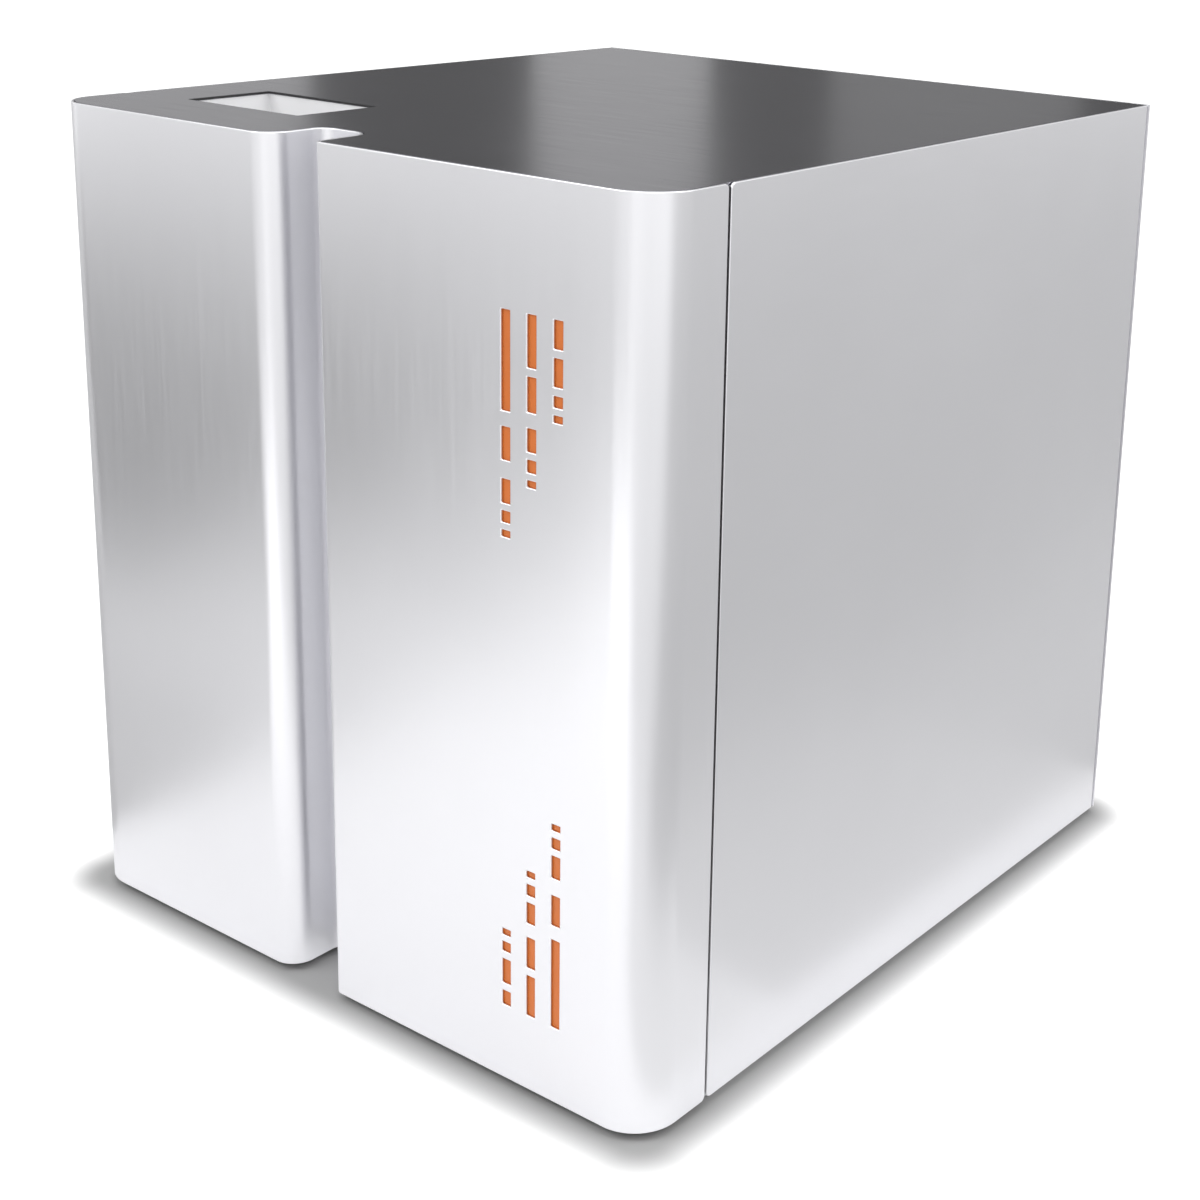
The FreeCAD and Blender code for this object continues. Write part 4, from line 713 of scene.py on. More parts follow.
def screwHead(radius, rise):
    # a low pan head with a cross recess
    mesh = bmesh.new()
    rim = addLoop(mesh, circleSpots(radius * 0.74, rise, 20))
    arm, reach = radius * 0.15, radius * 0.56
    quarter = [(reach, -arm), (reach, arm), (arm, arm)]
    cross = []
    for turn in range(4):
        for x, y in quarter:
            for step in range(turn):
                x, y = -y, x
            cross.append((x, y, rise))
    recess = addLoop(mesh, cross)
    fillFlat(mesh, rim + recess)
    foot = pushLoop(mesh, recess, -rise * 0.75, 0.8)
    fillFlat(mesh, foot)
    side = pushLoop(mesh, rim, -rise * 0.2, 1.22)
    side = pushLoop(mesh, side, -rise * 0.35, 1.108)
    pushLoop(mesh, side, -rise * 0.45)
    return asPart(mesh, "screw")


def hexHead(radius, rise):
    mesh = bmesh.new()
    bmesh.ops.create_cone(mesh, cap_ends=True, segments=6, radius1=radius, radius2=radius, depth=rise)
    bmesh.ops.translate(mesh, vec=(0, 0, rise / 2), verts=mesh.verts)
    addTurned(mesh, [(radius * 0.84, rise), (radius * 0.8, rise * 1.12), (0, rise * 1.12)], steps=24)
    return asPart(mesh, "bolt")


def addedPiece(name, mesh, slot, body, finish=None, width=0.0, segments=2, angle=35):
    # a piece that stands on the CAD's own shape
    bmesh.ops.recalc_face_normals(mesh, faces=mesh.faces)
    piece = makePiece(name, mesh, finish or finishes[slot])
    if width:
        softenEdges(piece, width, segments, angle)
    else:
        smoothTo(piece, angle)
    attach(piece, body)
    return piece


def standPiece(name, mesh, slot, *nodes, finish=None, width=0.0, segments=2, angle=35):
    # a piece in place of CAD nodes
    piece = addedPiece(name, mesh, slot, bodyOfNode[nodes[0]], finish, width, segments, angle)
    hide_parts(*nodes)
    return piece


def numberMesh(text, size, depth=0.00005):
    curve = bpy.data.curves.new("number", "FONT")
    curve.body = text
    curve.size = size
    curve.align_x = "CENTER"
    curve.align_y = "CENTER"
    curve.extrude = depth
    holder = bpy.data.objects.new("number", curve)
    data = bpy.data.meshes.new_from_object(holder)
    bpy.data.objects.remove(holder)
    return data


# Extra finishes for small pieces
def plainFinish(name, colour, roughness, **sockets):
    finish, tree, shader = startFinish(name, Base_Color=colour, **sockets)
    between(tree, grain(tree, 500), roughness - 0.04, roughness + 0.04, shader.inputs["Roughness"])
    return finish


def litFinish(name, colour, strength):
    finish, tree, shader = startFinish(name, Base_Color=shaded(colour, 0.3), Emission_Color=colour)
    between(tree, grain(tree, 300), strength * 0.9, strength, shader.inputs["Emission Strength"])
    return finish


extras = {
    "screwSteel": castMetal("screwSteel", (0.74, 0.74, 0.75), 0.26, 900),
    "whiteMark": plainFinish("whiteMark", (0.85, 0.85, 0.84), 0.5),
    "blackMark": plainFinish("blackMark", (0.015, 0.015, 0.016), 0.5),
    "redMark": plainFinish("redMark", (0.62, 0.03, 0.02), 0.45),
    "sealRubber": mouldedPlastic("sealRubber", (0.02, 0.02, 0.021), 0.7),
    "screenBlack": plainFinish("screenBlack", (0.006, 0.007, 0.009), 0.2),
    "screenTeal": litFinish("screenTeal", (0.05, 0.75, 0.80), 1.5),
    "screenWhite": litFinish("screenWhite", (0.85, 0.92, 1.0), 1.3),
    "relayBlue": mouldedPlastic("relayBlue", (0.02, 0.09, 0.35), 0.4),
    "chipBlack": mouldedPlastic("chipBlack", (0.025, 0.025, 0.027), 0.5),
    "solderTin": castMetal("solderTin", (0.78, 0.78, 0.77), 0.3, 1500),
    "terminalGreen": mouldedPlastic("terminalGreen", (0.03, 0.34, 0.10), 0.42),
    "valveRing": mouldedPlastic("portRing", (0.04, 0.16, 0.48), 0.35),
    "sinteredBronze": castMetal("sinteredBronze", (0.60, 0.42, 0.22), 0.5, 900, 0.0004),
    "moduleWhite": sprayedPaint("moduleTube", (0.72, 0.74, 0.76), 0.35),
    "wireBlue": mouldedPlastic("wireBlue", (0.02, 0.08, 0.5), 0.4),
}

panelTop = cabinet["top"]
columns = [sum((nodeBox(name + "_knob")[side].x for side in (0, 1))) / 2
           for name in ("nitrogen", "source", "exhaust")]
front, up, behind = (0, -1, 0), (0, 0, 1), (0, 1, 0)
print("parts and extra finishes ready")


# Well: a thin rubber trim round its opening, the screen, the button and its bezel
def makeWellTrim():
    mesh = bmesh.new()
    thick = 0.0007
    left, right, near, far = (wellSet[side] for side in ("left", "right", "front", "back"))
    for inset in (0.0, thick):
        rim = [mesh.verts.new((x, y, panelTop - 0.0012)) for x, y in (
            (left + inset, near + inset), (right - inset, near + inset), (right - inset, far - inset),
            (left + inset, far - inset))]
        mesh.faces.new(rim)
        roundCorners(mesh, [(vert, wellSet["corner"] - inset) for vert in rim], 4)
    bmesh.ops.delete(mesh, geom=list(mesh.faces), context="FACES_ONLY")
    fillFlat(mesh, list(mesh.edges))
    grown = bmesh.ops.extrude_face_region(mesh, geom=list(mesh.faces))["geom"]
    bmesh.ops.translate(mesh, vec=(0, 0, 0.0011), verts=partsOf(grown, bmesh.types.BMVert))
    addedPiece("well_trim", mesh, "foot_rubber", "cabinet", extras["sealRubber"])


screenSet = {"bars": (0.78, 0.62, 0.86), "rowPitch": 0.0056, "rowHeight": 0.0022, "thick": 0.0001, "marks": 5}


def makeScreen():
    # three level bars with a ring before each, one for each gas
    low, high = nodeBox("display_window")
    face = low.z - 0.0003
    mesh = bmesh.new()
    addBox(mesh, (low.x, low.y, face - 0.0004), (high.x, high.y, face))
    addedPiece("screen", mesh, "display_plastic", "cabinet", extras["screenBlack"])
    track = bmesh.new()
    levels = bmesh.new()
    marks = bmesh.new()
    left, right = low.x + 0.009, high.x - 0.004
    for row, share in enumerate(screenSet["bars"]):
        y = (low.y + high.y) / 2 + (1 - row) * screenSet["rowPitch"]
        half = screenSet["rowHeight"] / 2
        rise = face + screenSet["thick"]
        addBox(track, (left, y - half * 0.25, face), (right, y + half * 0.25, rise))
        addBox(levels, (left, y - half, face), (left + (right - left) * share, y + half, rise + 0.00003))
        addTurned(marks, [(0.0011, face), (0.0011, rise), (0.0016, rise), (0.0016, face)],
                  (low.x + 0.0045, y, 0), steps=24)
        for step in range(screenSet["marks"]):
            x = left + (right - left) * step / (screenSet["marks"] - 1)
            addBox(marks, (x - 0.0001, y - half * 1.7, face), (x + 0.0001, y - half * 1.3, rise))
    addedPiece("screen_tracks", track, "display_plastic", "cabinet", extras["whiteMark"])
    addedPiece("screen_levels", levels, "display_plastic", "cabinet", extras["screenTeal"])
    addedPiece("screen_marks", marks, "display_plastic", "cabinet", extras["screenWhite"])


buttonSet = {"signMarks": 28, "signGap": 38, "signRing": 0.34, "signWide": 0.07, "signHeight": 0.00012}


def makeButton():
    middle, radius, low, high = roundBox("power_button")
    mesh = bmesh.new()
    top = high.z
    foot = low.z + 0.0001
    addTurned(mesh, [(0, foot), (radius, foot), (radius, top - 0.0007), (radius - 0.0007, top),
                     (radius * 0.74, top), (radius * 0.72, top - 0.0003), (radius * 0.66, top - 0.0003),
                     (radius * 0.64, top), (0, top)], (middle.x, middle.y, 0), steps=64)
    standPiece("power_button_cap", mesh, "button_metal", "power_button", width=0.0001)
    sign = bmesh.new()
    ring = radius * buttonSet["signRing"]
    wide = radius * buttonSet["signWide"]
    count = buttonSet["signMarks"]
    gap = math.radians(buttonSet["signGap"])
    for step in range(count):
        turn = math.pi / 2 + gap + (math.tau - 2 * gap) * (step + 0.5) / count
        addTurnedBox(sign, (-ring * 0.12, ring - wide, 0),
                     (ring * 0.12, ring + wide, buttonSet["signHeight"]), turn - math.pi / 2, "Z")
    addBox(sign, (-wide, ring * 0.15, 0), (wide, ring * 1.25, buttonSet["signHeight"]))
    bmesh.ops.translate(sign, verts=sign.verts, vec=(middle.x, middle.y, top - 0.00004))
    addedPiece("power_sign", sign, "button_metal", bodyOfNode["power_button"], extras["screenWhite"])
    bezelTop = nodeBox("button_bezel")[1].z
    glow = bmesh.new()
    addTurned(glow, [(radius + 0.0007, 0), (radius + 0.0007, 0.00035), (radius + 0.0013, 0.00035),
                     (radius + 0.0013, 0)],
              (middle.x, middle.y, bezelTop - 0.00015), steps=64)
    addedPiece("bezel_light", glow, "button_metal", "cabinet", extras["screenWhite"])


makeWellTrim()
makeScreen()
makeButton()
dressedNode("button_bezel", "button_metal", 0.0003, 3)
dressedNode("display_module", "display_plastic", 0.0006, 3)
print("well dressed")


# Screws: each head of the CAD's screws becomes one with a cross recess
def makeScrews():
    mesh = bmesh.new()
    head = screwHead(0.0035, 0.0019)
    for index, (low, high) in enumerate(islandBoxes("panel_screws")):
        middle = (low + high) / 2
        if high.y - low.y < high.z - low.z + 0.0005 or high.y > 0.22:
            stamp(mesh, head, (middle.x, high.y - 0.002, middle.z), behind, index * 1.3)
        else:
            stamp(mesh, head, (middle.x, middle.y, low.z + 0.002), (0, 0, -1), index * 1.3)
    standPiece("screw_heads", mesh, "stud_steel", "panel_screws", finish=extras["screwSteel"])


makeScrews()
print("screws made")


# Front bay: gauges, knobs, filters, regulators
gaugeSet = {"ticks": 41, "major": 4, "from": -135, "to": 135, "reach": 0.0165,
            "numbers": ("0", "2", "4", "6", "8", "10"), "numberRing": 0.0113, "numberSize": 0.0036,
            "redFrom": 95, "redSpan": 40, "redMarks": 14}


def dialSpot(middle, turn, radius, y):
    turn = math.radians(turn)
    return Vector((middle.x + radius * math.sin(turn), y, middle.z + radius * math.cos(turn)))


def makeDials():
    white = bmesh.new()
    black = bmesh.new()
    red = bmesh.new()
    for middle, radius, low, high in roundBoxes("gauge_dials"):
        addTurned(white, [(0, 0), (radius, 0), (radius, 0.0007), (radius - 0.0002, 0.0008), (0, 0.0008)],
                  (middle.x, high.y, middle.z), front, 64)
        face = low.y - 0.00002
        span = gaugeSet["to"] - gaugeSet["from"]
        for step in range(gaugeSet["ticks"]):
            turn = gaugeSet["from"] + span * step / (gaugeSet["ticks"] - 1)
            long = step % gaugeSet["major"] == 0
            length = 0.0027 if long else 0.0014
            wide = 0.00022 if long else 0.00011
            addTurnedBox(black, (-wide, -0.00004, gaugeSet["reach"] - length),
                         (wide, 0.00004, gaugeSet["reach"]), math.radians(turn), "Y",
                         (middle.x, face, middle.z))
        for place, text in enumerate(gaugeSet["numbers"]):
            turn = gaugeSet["from"] + span * place / (len(gaugeSet["numbers"]) - 1)
            spot = dialSpot(middle, turn, gaugeSet["numberRing"], face)
            stamp(black, numberMesh(text, gaugeSet["numberSize"]), spot, front)
        addTurned(black, [(0.0168, 0), (0.0168, 0.00004), (0.01705, 0.00004), (0.01705, 0)],
                  (middle.x, face, middle.z), front, 64)
        for step in range(gaugeSet["redMarks"]):
            turn = gaugeSet["redFrom"] + gaugeSet["redSpan"] * step / (gaugeSet["redMarks"] - 1)
            addTurnedBox(red, (-0.00035, -0.00003, 0.0171), (0.00035, 0.00003, 0.0179), math.radians(turn),
                         "Y", (middle.x, face, middle.z))
    standPiece("dial_faces", white, "dial_white", "gauge_dials")
    addedPiece("dial_scales", black, "needle_black", "cabinet", extras["blackMark"])
    addedPiece("dial_limits", red, "needle_black", "cabinet", extras["redMark"])


def makeGaugeCases():
    mesh = bmesh.new()
    for middle, radius, low, high in roundBoxes("gauge_cases"):
        rim = high.y - low.y
        bore = radius - 0.002
        stem = 0.012
        addTurned(mesh, [
            (0, 0), (0.005, 0), (0.005, 0.003), (0.0062, 0.003), (0.0062, 0.008), (0.005, 0.008),
            (0.005, stem), (radius - 0.003, stem), (radius - 0.001, stem + 0.001),
            (radius - 0.001, rim - 0.006), (radius, rim - 0.0055), (radius, rim - 0.001),
            (radius - 0.0007, rim), (bore + 0.0006, rim), (bore, rim - 0.0007), (bore, stem + 0.002),
            (0.0008, stem + 0.002), (0.0008, stem + 0.0058), (0, stem + 0.0058)],
            (middle.x, high.y, middle.z), front, 72)
    standPiece("gauge_bodies", mesh, "gauge_steel", "gauge_cases", width=0.00015, angle=40)


def makeKnobs():
    # a white pointer and a turned centre disc on each fluted knob
    for name in ("nitrogen", "source", "exhaust"):
        node = name + "_knob"
        low, high = nodeBox(node)
        middle = (low + high) / 2
        dressedNode(node, "knob_plastic", 0.0005, 3, 40)
        line = bmesh.new()
        addBox(line, (middle.x - 0.0007, low.y - 0.00012, middle.z + 0.004),
               (middle.x + 0.0007, low.y + 0.0001, middle.z + 0.0145))
        addedPiece(name + "_pointer", line, "knob_plastic", bodyOfNode[node], extras["whiteMark"])
        disc = bmesh.new()
        rings = [(0, -0.0004), (0.0082, -0.0004), (0.0082, 0.0002), (0.0077, 0.0004)]
        rings += [(0.006, 0.0004), (0.0057, 0.0001), (0.0052, 0.0001), (0.0049, 0.0004), (0, 0.0004)]
        addTurned(disc, rings, (middle.x, low.y, middle.z), front, 48)
        addedPiece(name + "_disc", disc, "button_metal", bodyOfNode[node])


def makeRegulators():
    mesh = bmesh.new()
    for middle, radius, low, high in roundBoxes("regulator_bodies"):
        addTurned(mesh, [
            (0, 0), (radius - 0.001, 0), (radius, 0.001), (radius, 0.011), (radius - 0.0006, 0.0116),
            (radius - 0.0006, 0.0136), (radius, 0.0142), (radius, 0.033), (radius - 0.001, 0.034),
            (0.0135, 0.034), (0.0135, 0.0355), (0.014, 0.036), (0.014, 0.0415), (0.0135, 0.042),
            (0.003, 0.042), (0.003, 0.0578), (0.0028, 0.058), (0, 0.058)], (middle.x, high.y, middle.z),
            front, 56)
    standPiece("regulator_turnings", mesh, "head_aluminium", "regulator_bodies", width=0.0002)


filterSet = {"radius": 0.023, "wall": 0.0025, "collar": 0.0022, "collarHeight": 0.009, "ribs": 24,
             "round": 0.008, "drainLength": 0.010, "pleats": 36, "media": 0.014, "cap": 0.017,
             "capHeight": 0.004}


def roundedTurn(start, end, bulge, steps=6):
    # a quarter round between two points of a profile, its corner at the bulge
    points = []
    for step in range(steps + 1):
        share = step / steps
        points.append(tuple((1 - share) ** 2 * a + 2 * share * (1 - share) * b + share ** 2 * c
                            for a, b, c in zip(start, bulge, end)))
    return points


def makeBowls():
    for name in ("particle", "oil", "vapour"):
        node = name + "_filter_bowl"
        low, high = nodeBox(node)
        middle = (low + high) / 2
        length = high.z - low.z
        radius = filterSet["radius"]
        collar = radius + filterSet["collar"]
        inside = radius - filterSet["wall"]
        foot = filterSet["drainLength"]
        bend = filterSet["round"]
        neck = length - filterSet["collarHeight"]
        outer = [(0, 0), (0.0032, 0), (0.005, 0.001), (0.005, 0.0035), (0.0036, 0.0042),
                 (0.0036, foot - 0.001)]
        outer += [(0.008, foot)] + roundedTurn((radius - bend, foot), (radius, foot + bend), (radius, foot))
        outer += [(radius, neck - 0.001), (radius + 0.0005, neck), (collar - 0.0004, neck),
                  (collar, neck + 0.0006)]
        outer += [(collar, neck + 0.0040), (collar - 0.0007, neck + 0.0044), (collar - 0.0007, neck + 0.0052)]
        outer += [(collar, neck + 0.0056), (collar, length - 0.0006), (collar - 0.0006, length),
                  (inside, length)]
        outer += list(reversed(roundedTurn((inside - bend, foot + 0.0025), (inside, foot + bend + 0.001),
                                           (inside, foot + 0.0025))))
        outer += [(0, foot + 0.0025)]
        mesh = bmesh.new()
        addTurned(mesh, outer, (middle.x, middle.y, low.z), up, 64)
        standPiece(name + "_bowl_clear", mesh, "bowl_plastic", node, angle=50)
        ribs = bmesh.new()
        for step in range(filterSet["ribs"]):
            addTurnedBox(ribs, (collar - 0.0006, -0.0007, neck + 0.0008),
                         (collar + 0.00035, 0.0007, length - 0.0008), math.tau * step / filterSet["ribs"],
                         "Z", (middle.x, middle.y, low.z))
        addedPiece(name + "_bowl_grip", ribs, "cap_plastic", bodyOfNode[node], width=0.0002)
        water = bmesh.new()
        level = foot + 0.0145
        pool = roundedTurn((inside - bend - 0.0002, foot + 0.0027), (inside - 0.0003, foot + bend + 0.001),
                           (inside - 0.0003, foot + 0.0027))
        addTurned(water, [(0, foot + 0.0027)] + pool + [(inside - 0.0003, level), (0, level)],
                  (middle.x, middle.y, low.z), up, 48)
        addedPiece(name + "_bowl_water", water, "bowl_plastic", bodyOfNode[node], waterFinish)


def makeElements():
    media = bmesh.new()
    caps = bmesh.new()
    for low, high in islandBoxes("filter_elements"):
        middle = (low + high) / 2
        pleats = filterSet["pleats"]
        reach = filterSet["media"] + 0.0012
        star = []
        for step in range(pleats * 2):
            radius = reach if step % 2 else reach - 0.0028
            turn = math.tau * step / (pleats * 2)
            star.append((middle.x + radius * math.cos(turn), middle.y + radius * math.sin(turn)))
        ringLow = [media.verts.new((x, y, low.z + filterSet["capHeight"] - 0.0005)) for x, y in star]
        ringHigh = [media.verts.new((x, y, high.z - filterSet["capHeight"] + 0.0005)) for x, y in star]
        for index in range(len(star)):
            media.faces.new((ringLow[index - 1], ringLow[index], ringHigh[index], ringHigh[index - 1]))
        cap = filterSet["cap"]
        rise = filterSet["capHeight"]
        for foot in (low.z, high.z - rise):
            addTurned(caps, [(0, 0), (cap - 0.0005, 0), (cap, 0.0005), (cap, rise - 0.0005),
                             (cap - 0.0005, rise), (0, rise)],
                      (middle.x, middle.y, foot), up, 48)
    standPiece("element_media", media, "element_media", "filter_elements", angle=80)
    addedPiece("element_caps", caps, "cap_plastic", "cabinet")


def makeHead():
    # the cast head with a hex screw on each side of a column and a plug between them
    dressedNode("filter_head", "head_aluminium", 0.0012, 3)
    low, high = nodeBox("filter_head")
    bolts = bmesh.new()
    bolt = hexHead(0.0034, 0.0022)
    for x in columns:
        for side in (-0.0205, 0.0205):
            stamp(bolts, bolt, (x + side, low.y, high.z - 0.008), front, 0.2)
    addedPiece("head_bolts", bolts, "stud_steel", "cabinet", extras["screwSteel"])
    plugs = bmesh.new()
    for x in columns:
        addTurned(plugs, [(0, 0), (0.0075, 0), (0.0075, 0.0012), (0.007, 0.0016), (0.0035, 0.0016),
                          (0.0035, 0.0004), (0, 0.0004)],
                  (x, low.y, high.z - 0.014), front, 6)
    addedPiece("head_plugs", plugs, "fitting_brass", "cabinet")


waterFinish = clearPlastic("bowlWater", (0.80, 0.90, 0.95), 0.01)
makeDials()
makeGaugeCases()
makeKnobs()
makeRegulators()
makeBowls()
makeElements()
makeHead()
dressedNode("gauge_lenses", "clear_glass", 0.0003, 2)
dressedNode("bowl_seals", "foot_rubber", 0.0003, 2)
for needle in ("nitrogen_needle", "source_needle", "exhaust_needle"):
    dressedNode(needle, "needle_black", 0.0001, 1)
print("front bay made")


# Rear: ports, silencer, mains inlet, switch and fan
def makePorts():
    bodies = bmesh.new()
    rings = bmesh.new()
    foot = nodeBox("rear_panel")[1].y
    for middle, flange, low, high in roundBoxes("gas_ports"):
        reach = high.y - foot
        inside = low.y - foot
        addTurned(bodies, [
            (0.0031, reach - 0.0149), (0.0031, reach - 0.0008), (0.0038, reach), (0.0052, reach),
            (0.0055, reach - 0.0012), (0.0056, reach - 0.0030), (flange - 0.0018, reach - 0.0030),
            (flange - 0.0008, reach - 0.0038), (flange - 0.0008, 0.0035), (flange, 0.0030),
            (flange, 0.0004), (flange - 0.0004, 0), (0.0065, 0), (0.0065, inside + 0.0006),
            (0.0059, inside), (0.002, inside), (0.002, reach - 0.0149), (0.0031, reach - 0.0149)],
            (middle.x, foot, middle.z), behind, 56)
        for step in range(8):
            y = foot - 0.0065 - step * 0.0013
            addTurned(bodies, [(0.0063, -0.0006), (0.0068, 0), (0.0063, 0.0006)], (middle.x, y, middle.z),
                      behind, 40)
        addTurned(rings, [(0.0031, reach - 0.0012), (0.0033, reach - 0.0004), (0.0048, reach - 0.0004),
                          (0.0056, reach - 0.0034), (0.0031, reach - 0.0034), (0.0031, reach - 0.0012)],
                          (middle.x, foot + 0.0003, middle.z), behind, 48)
    standPiece("port_bodies", bodies, "fitting_brass", "gas_ports", width=0.0001, angle=40)
    addedPiece("port_rings", rings, "fitting_brass", "cabinet", extras["valveRing"])
    dressedNode("port_nuts", "fitting_brass", 0.0004, 2)


def makeSilencer():
    middle, radius, low, high = roundBox("vent_silencer")
    foot = nodeBox("rear_panel")[1].y
    mesh = bmesh.new()
    reach = high.y - foot
    addTurned(mesh, [(0, low.y - foot), (0.005, low.y - foot), (0.0055, low.y - foot + 0.0005), (0.0055, 0),
                     (radius, 0), (radius, 0.003), (radius - 0.0006, 0.0034),
                     (radius - 0.0006, reach - 0.003), (radius - 0.0024, reach - 0.0008),
                     (radius - 0.004, reach), (0, reach)],
              (middle.x, foot, middle.z), behind, 48)
    standPiece("silencer", mesh, "fitting_brass", "vent_silencer", finish=extras["sinteredBronze"])


def makeInlet():
    dressedNode("power_inlet", "inlet_plastic", 0.0006, 3)
    dressedNode("inlet_pins", "stud_steel", 0.0003, 2)
    dressedNode("fuse_drawer", "inlet_plastic", 0.0003, 2)
    low, high = nodeBox("fuse_drawer")
    ribs = bmesh.new()
    gripLow = high.y - 0.0012
    for step in range(6):
        x = (low.x + high.x) / 2 - 0.004 + step * 0.0016
        addBox(ribs, (x - 0.0003, gripLow + 0.0006, (low.z + high.z) / 2 - 0.0013),
               (x + 0.0003, high.y + 0.0002, (low.z + high.z) / 2 + 0.0013))
    addedPiece("drawer_ribs", ribs, "inlet_plastic", bodyOfNode["fuse_drawer"])
    low, high = nodeBox("power_inlet")
    screws = bmesh.new()
    head = screwHead(0.0016, 0.0008)
    for x in (low.x + 0.0022, high.x - 0.0022):
        stamp(screws, head, (x, high.y - 0.0001, (low.z + high.z) / 2), behind, x * 40)
    addedPiece("inlet_screws", screws, "stud_steel", "cabinet", extras["screwSteel"])


def makeSwitch():
    dressedNode("switch_frame", "inlet_plastic", 0.0005, 3)
    dressedNode("power_rocker", "inlet_plastic", 0.0006, 3)
    # a bar on the rocker's upper half and a ring on its lower half, both laid on its two faces
    mesh = mergedCopy("power_rocker")
    faces = sorted((face for face in mesh.faces if face.normal.y > 0.8 and face.calc_area() > 4e-5),
                   key=lambda face: face.calc_center_bounds().z)
    spots = [(face.calc_center_bounds().copy(), face.normal.copy()) for face in faces]
    mesh.free()
    marks = bmesh.new()
    if len(spots) >= 2:
        lowSpot, lowNormal = spots[0]
        highSpot, highNormal = spots[-1]
        ring = bmesh.new()
        addTurned(ring, [(0.0014, -0.0001), (0.0014, 0.00008), (0.0020, 0.00008), (0.0020, -0.0001)],
                  steps=32)
        stamp(marks, asPart(ring, "ring"), lowSpot, lowNormal)
        bar = boxMesh((-0.0003, -0.002, -0.0001), (0.0003, 0.002, 0.00008))
        stamp(marks, asPart(bar, "bar"), highSpot, highNormal)
    addedPiece("rocker_marks", marks, "inlet_plastic", bodyOfNode["power_rocker"], extras["whiteMark"])


def makeFan():
    dressedNode("fan_frame", "fan_plastic", 0.0006, 2)
    dressedNode("fan_rotor", "fan_plastic", 0.0003, 2)
    low, high = nodeBox("fan_rotor")
    middle = (low + high) / 2
    cap = bmesh.new()
    addTurned(cap, [(0, 0), (0.0115, 0), (0.0115, 0.00015), (0.0105, 0.0003), (0.004, 0.0003),
                    (0.0036, 0.00015), (0, 0.00015)],
              (middle.x, high.y, middle.z), behind, 48)
    addedPiece("rotor_badge", cap, "fan_plastic", bodyOfNode["fan_rotor"], extras["solderTin"])


makePorts()
makeSilencer()
makeInlet()
makeSwitch()
makeFan()
print("rear made")


# Inside: membranes, dryer, tank, valves
def makeModules():
    tubes = bmesh.new()
    for node in ("nitrogen_membranes", "membrane_dryer"):
        for middle, radius, low, high in roundBoxes(node):
            length = high.z - low.z
            addTurned(tubes, [(0, 0), (radius, 0), (radius, length), (0, length)],
                      (middle.x, middle.y, low.z), up, 64)
    standPiece("module_tubes", tubes, "tank_paint", "nitrogen_membranes", "membrane_dryer",
               finish=extras["moduleWhite"])
    caps = bmesh.new()
    for middle, radius, low, high in roundBoxes("module_end_caps"):
        rise = high.z - low.z
        addTurned(caps, [(0, 0), (0.008, 0), (0.008, 0.001), (radius - 0.004, 0.001), (radius - 0.001, 0.004),
                         (radius - 0.001, rise - 0.004), (radius - 0.004, rise - 0.001),
                         (0.008, rise - 0.001), (0.008, rise), (0, rise)], (middle.x, middle.y, low.z), up,
                         56)
        for step in range(16):
            addTurnedBox(caps, (radius - 0.0025, -0.0012, 0.0045), (radius, 0.0012, rise - 0.0045),
                         math.tau * step / 16, "Z", (middle.x, middle.y, low.z))
    standPiece("module_caps", caps, "cap_plastic", "module_end_caps", width=0.0003)
    dressedNode("module_clamps", "cap_plastic", 0.0006, 2)
    dressedNode("module_bracket", "frame_metal", 0.0003, 2)


tankSet = {"dome": 0.030, "shoulder": 0.018}


def makeTank():
    middle, radius, low, high = roundBox("receiver_tank")
    length = high.z - low.z - 0.008
    dome = tankSet["dome"]
    shoulder = tankSet["shoulder"]
    profile = [(0, 0)] + roundedTurn((radius - dome, 0), (radius, shoulder), (radius - 0.002, 0.001), 8)
    profile += [(radius, shoulder + 0.004), (radius + 0.0007, shoulder + 0.0048),
                (radius + 0.0007, shoulder + 0.0062)]
    profile += [(radius, shoulder + 0.007), (radius, length - shoulder - 0.007)]
    profile += [(radius + 0.0007, length - shoulder - 0.0062), (radius + 0.0007, length - shoulder - 0.0048)]
    profile += [(radius, length - shoulder - 0.004)]
    profile += roundedTurn((radius, length - shoulder), (radius - dome, length),
                           (radius - 0.002, length - 0.001), 8)
    profile += [(0.009, length), (0.009, length + 0.007), (0.008, length + 0.008), (0, length + 0.008)]
    mesh = bmesh.new()
    addTurned(mesh, profile, (middle.x, middle.y, low.z), up, 80)
    standPiece("tank_shell", mesh, "tank_paint", "receiver_tank")
    dressedNode("tank_foot_ring", "tank_paint", 0.0005, 2)


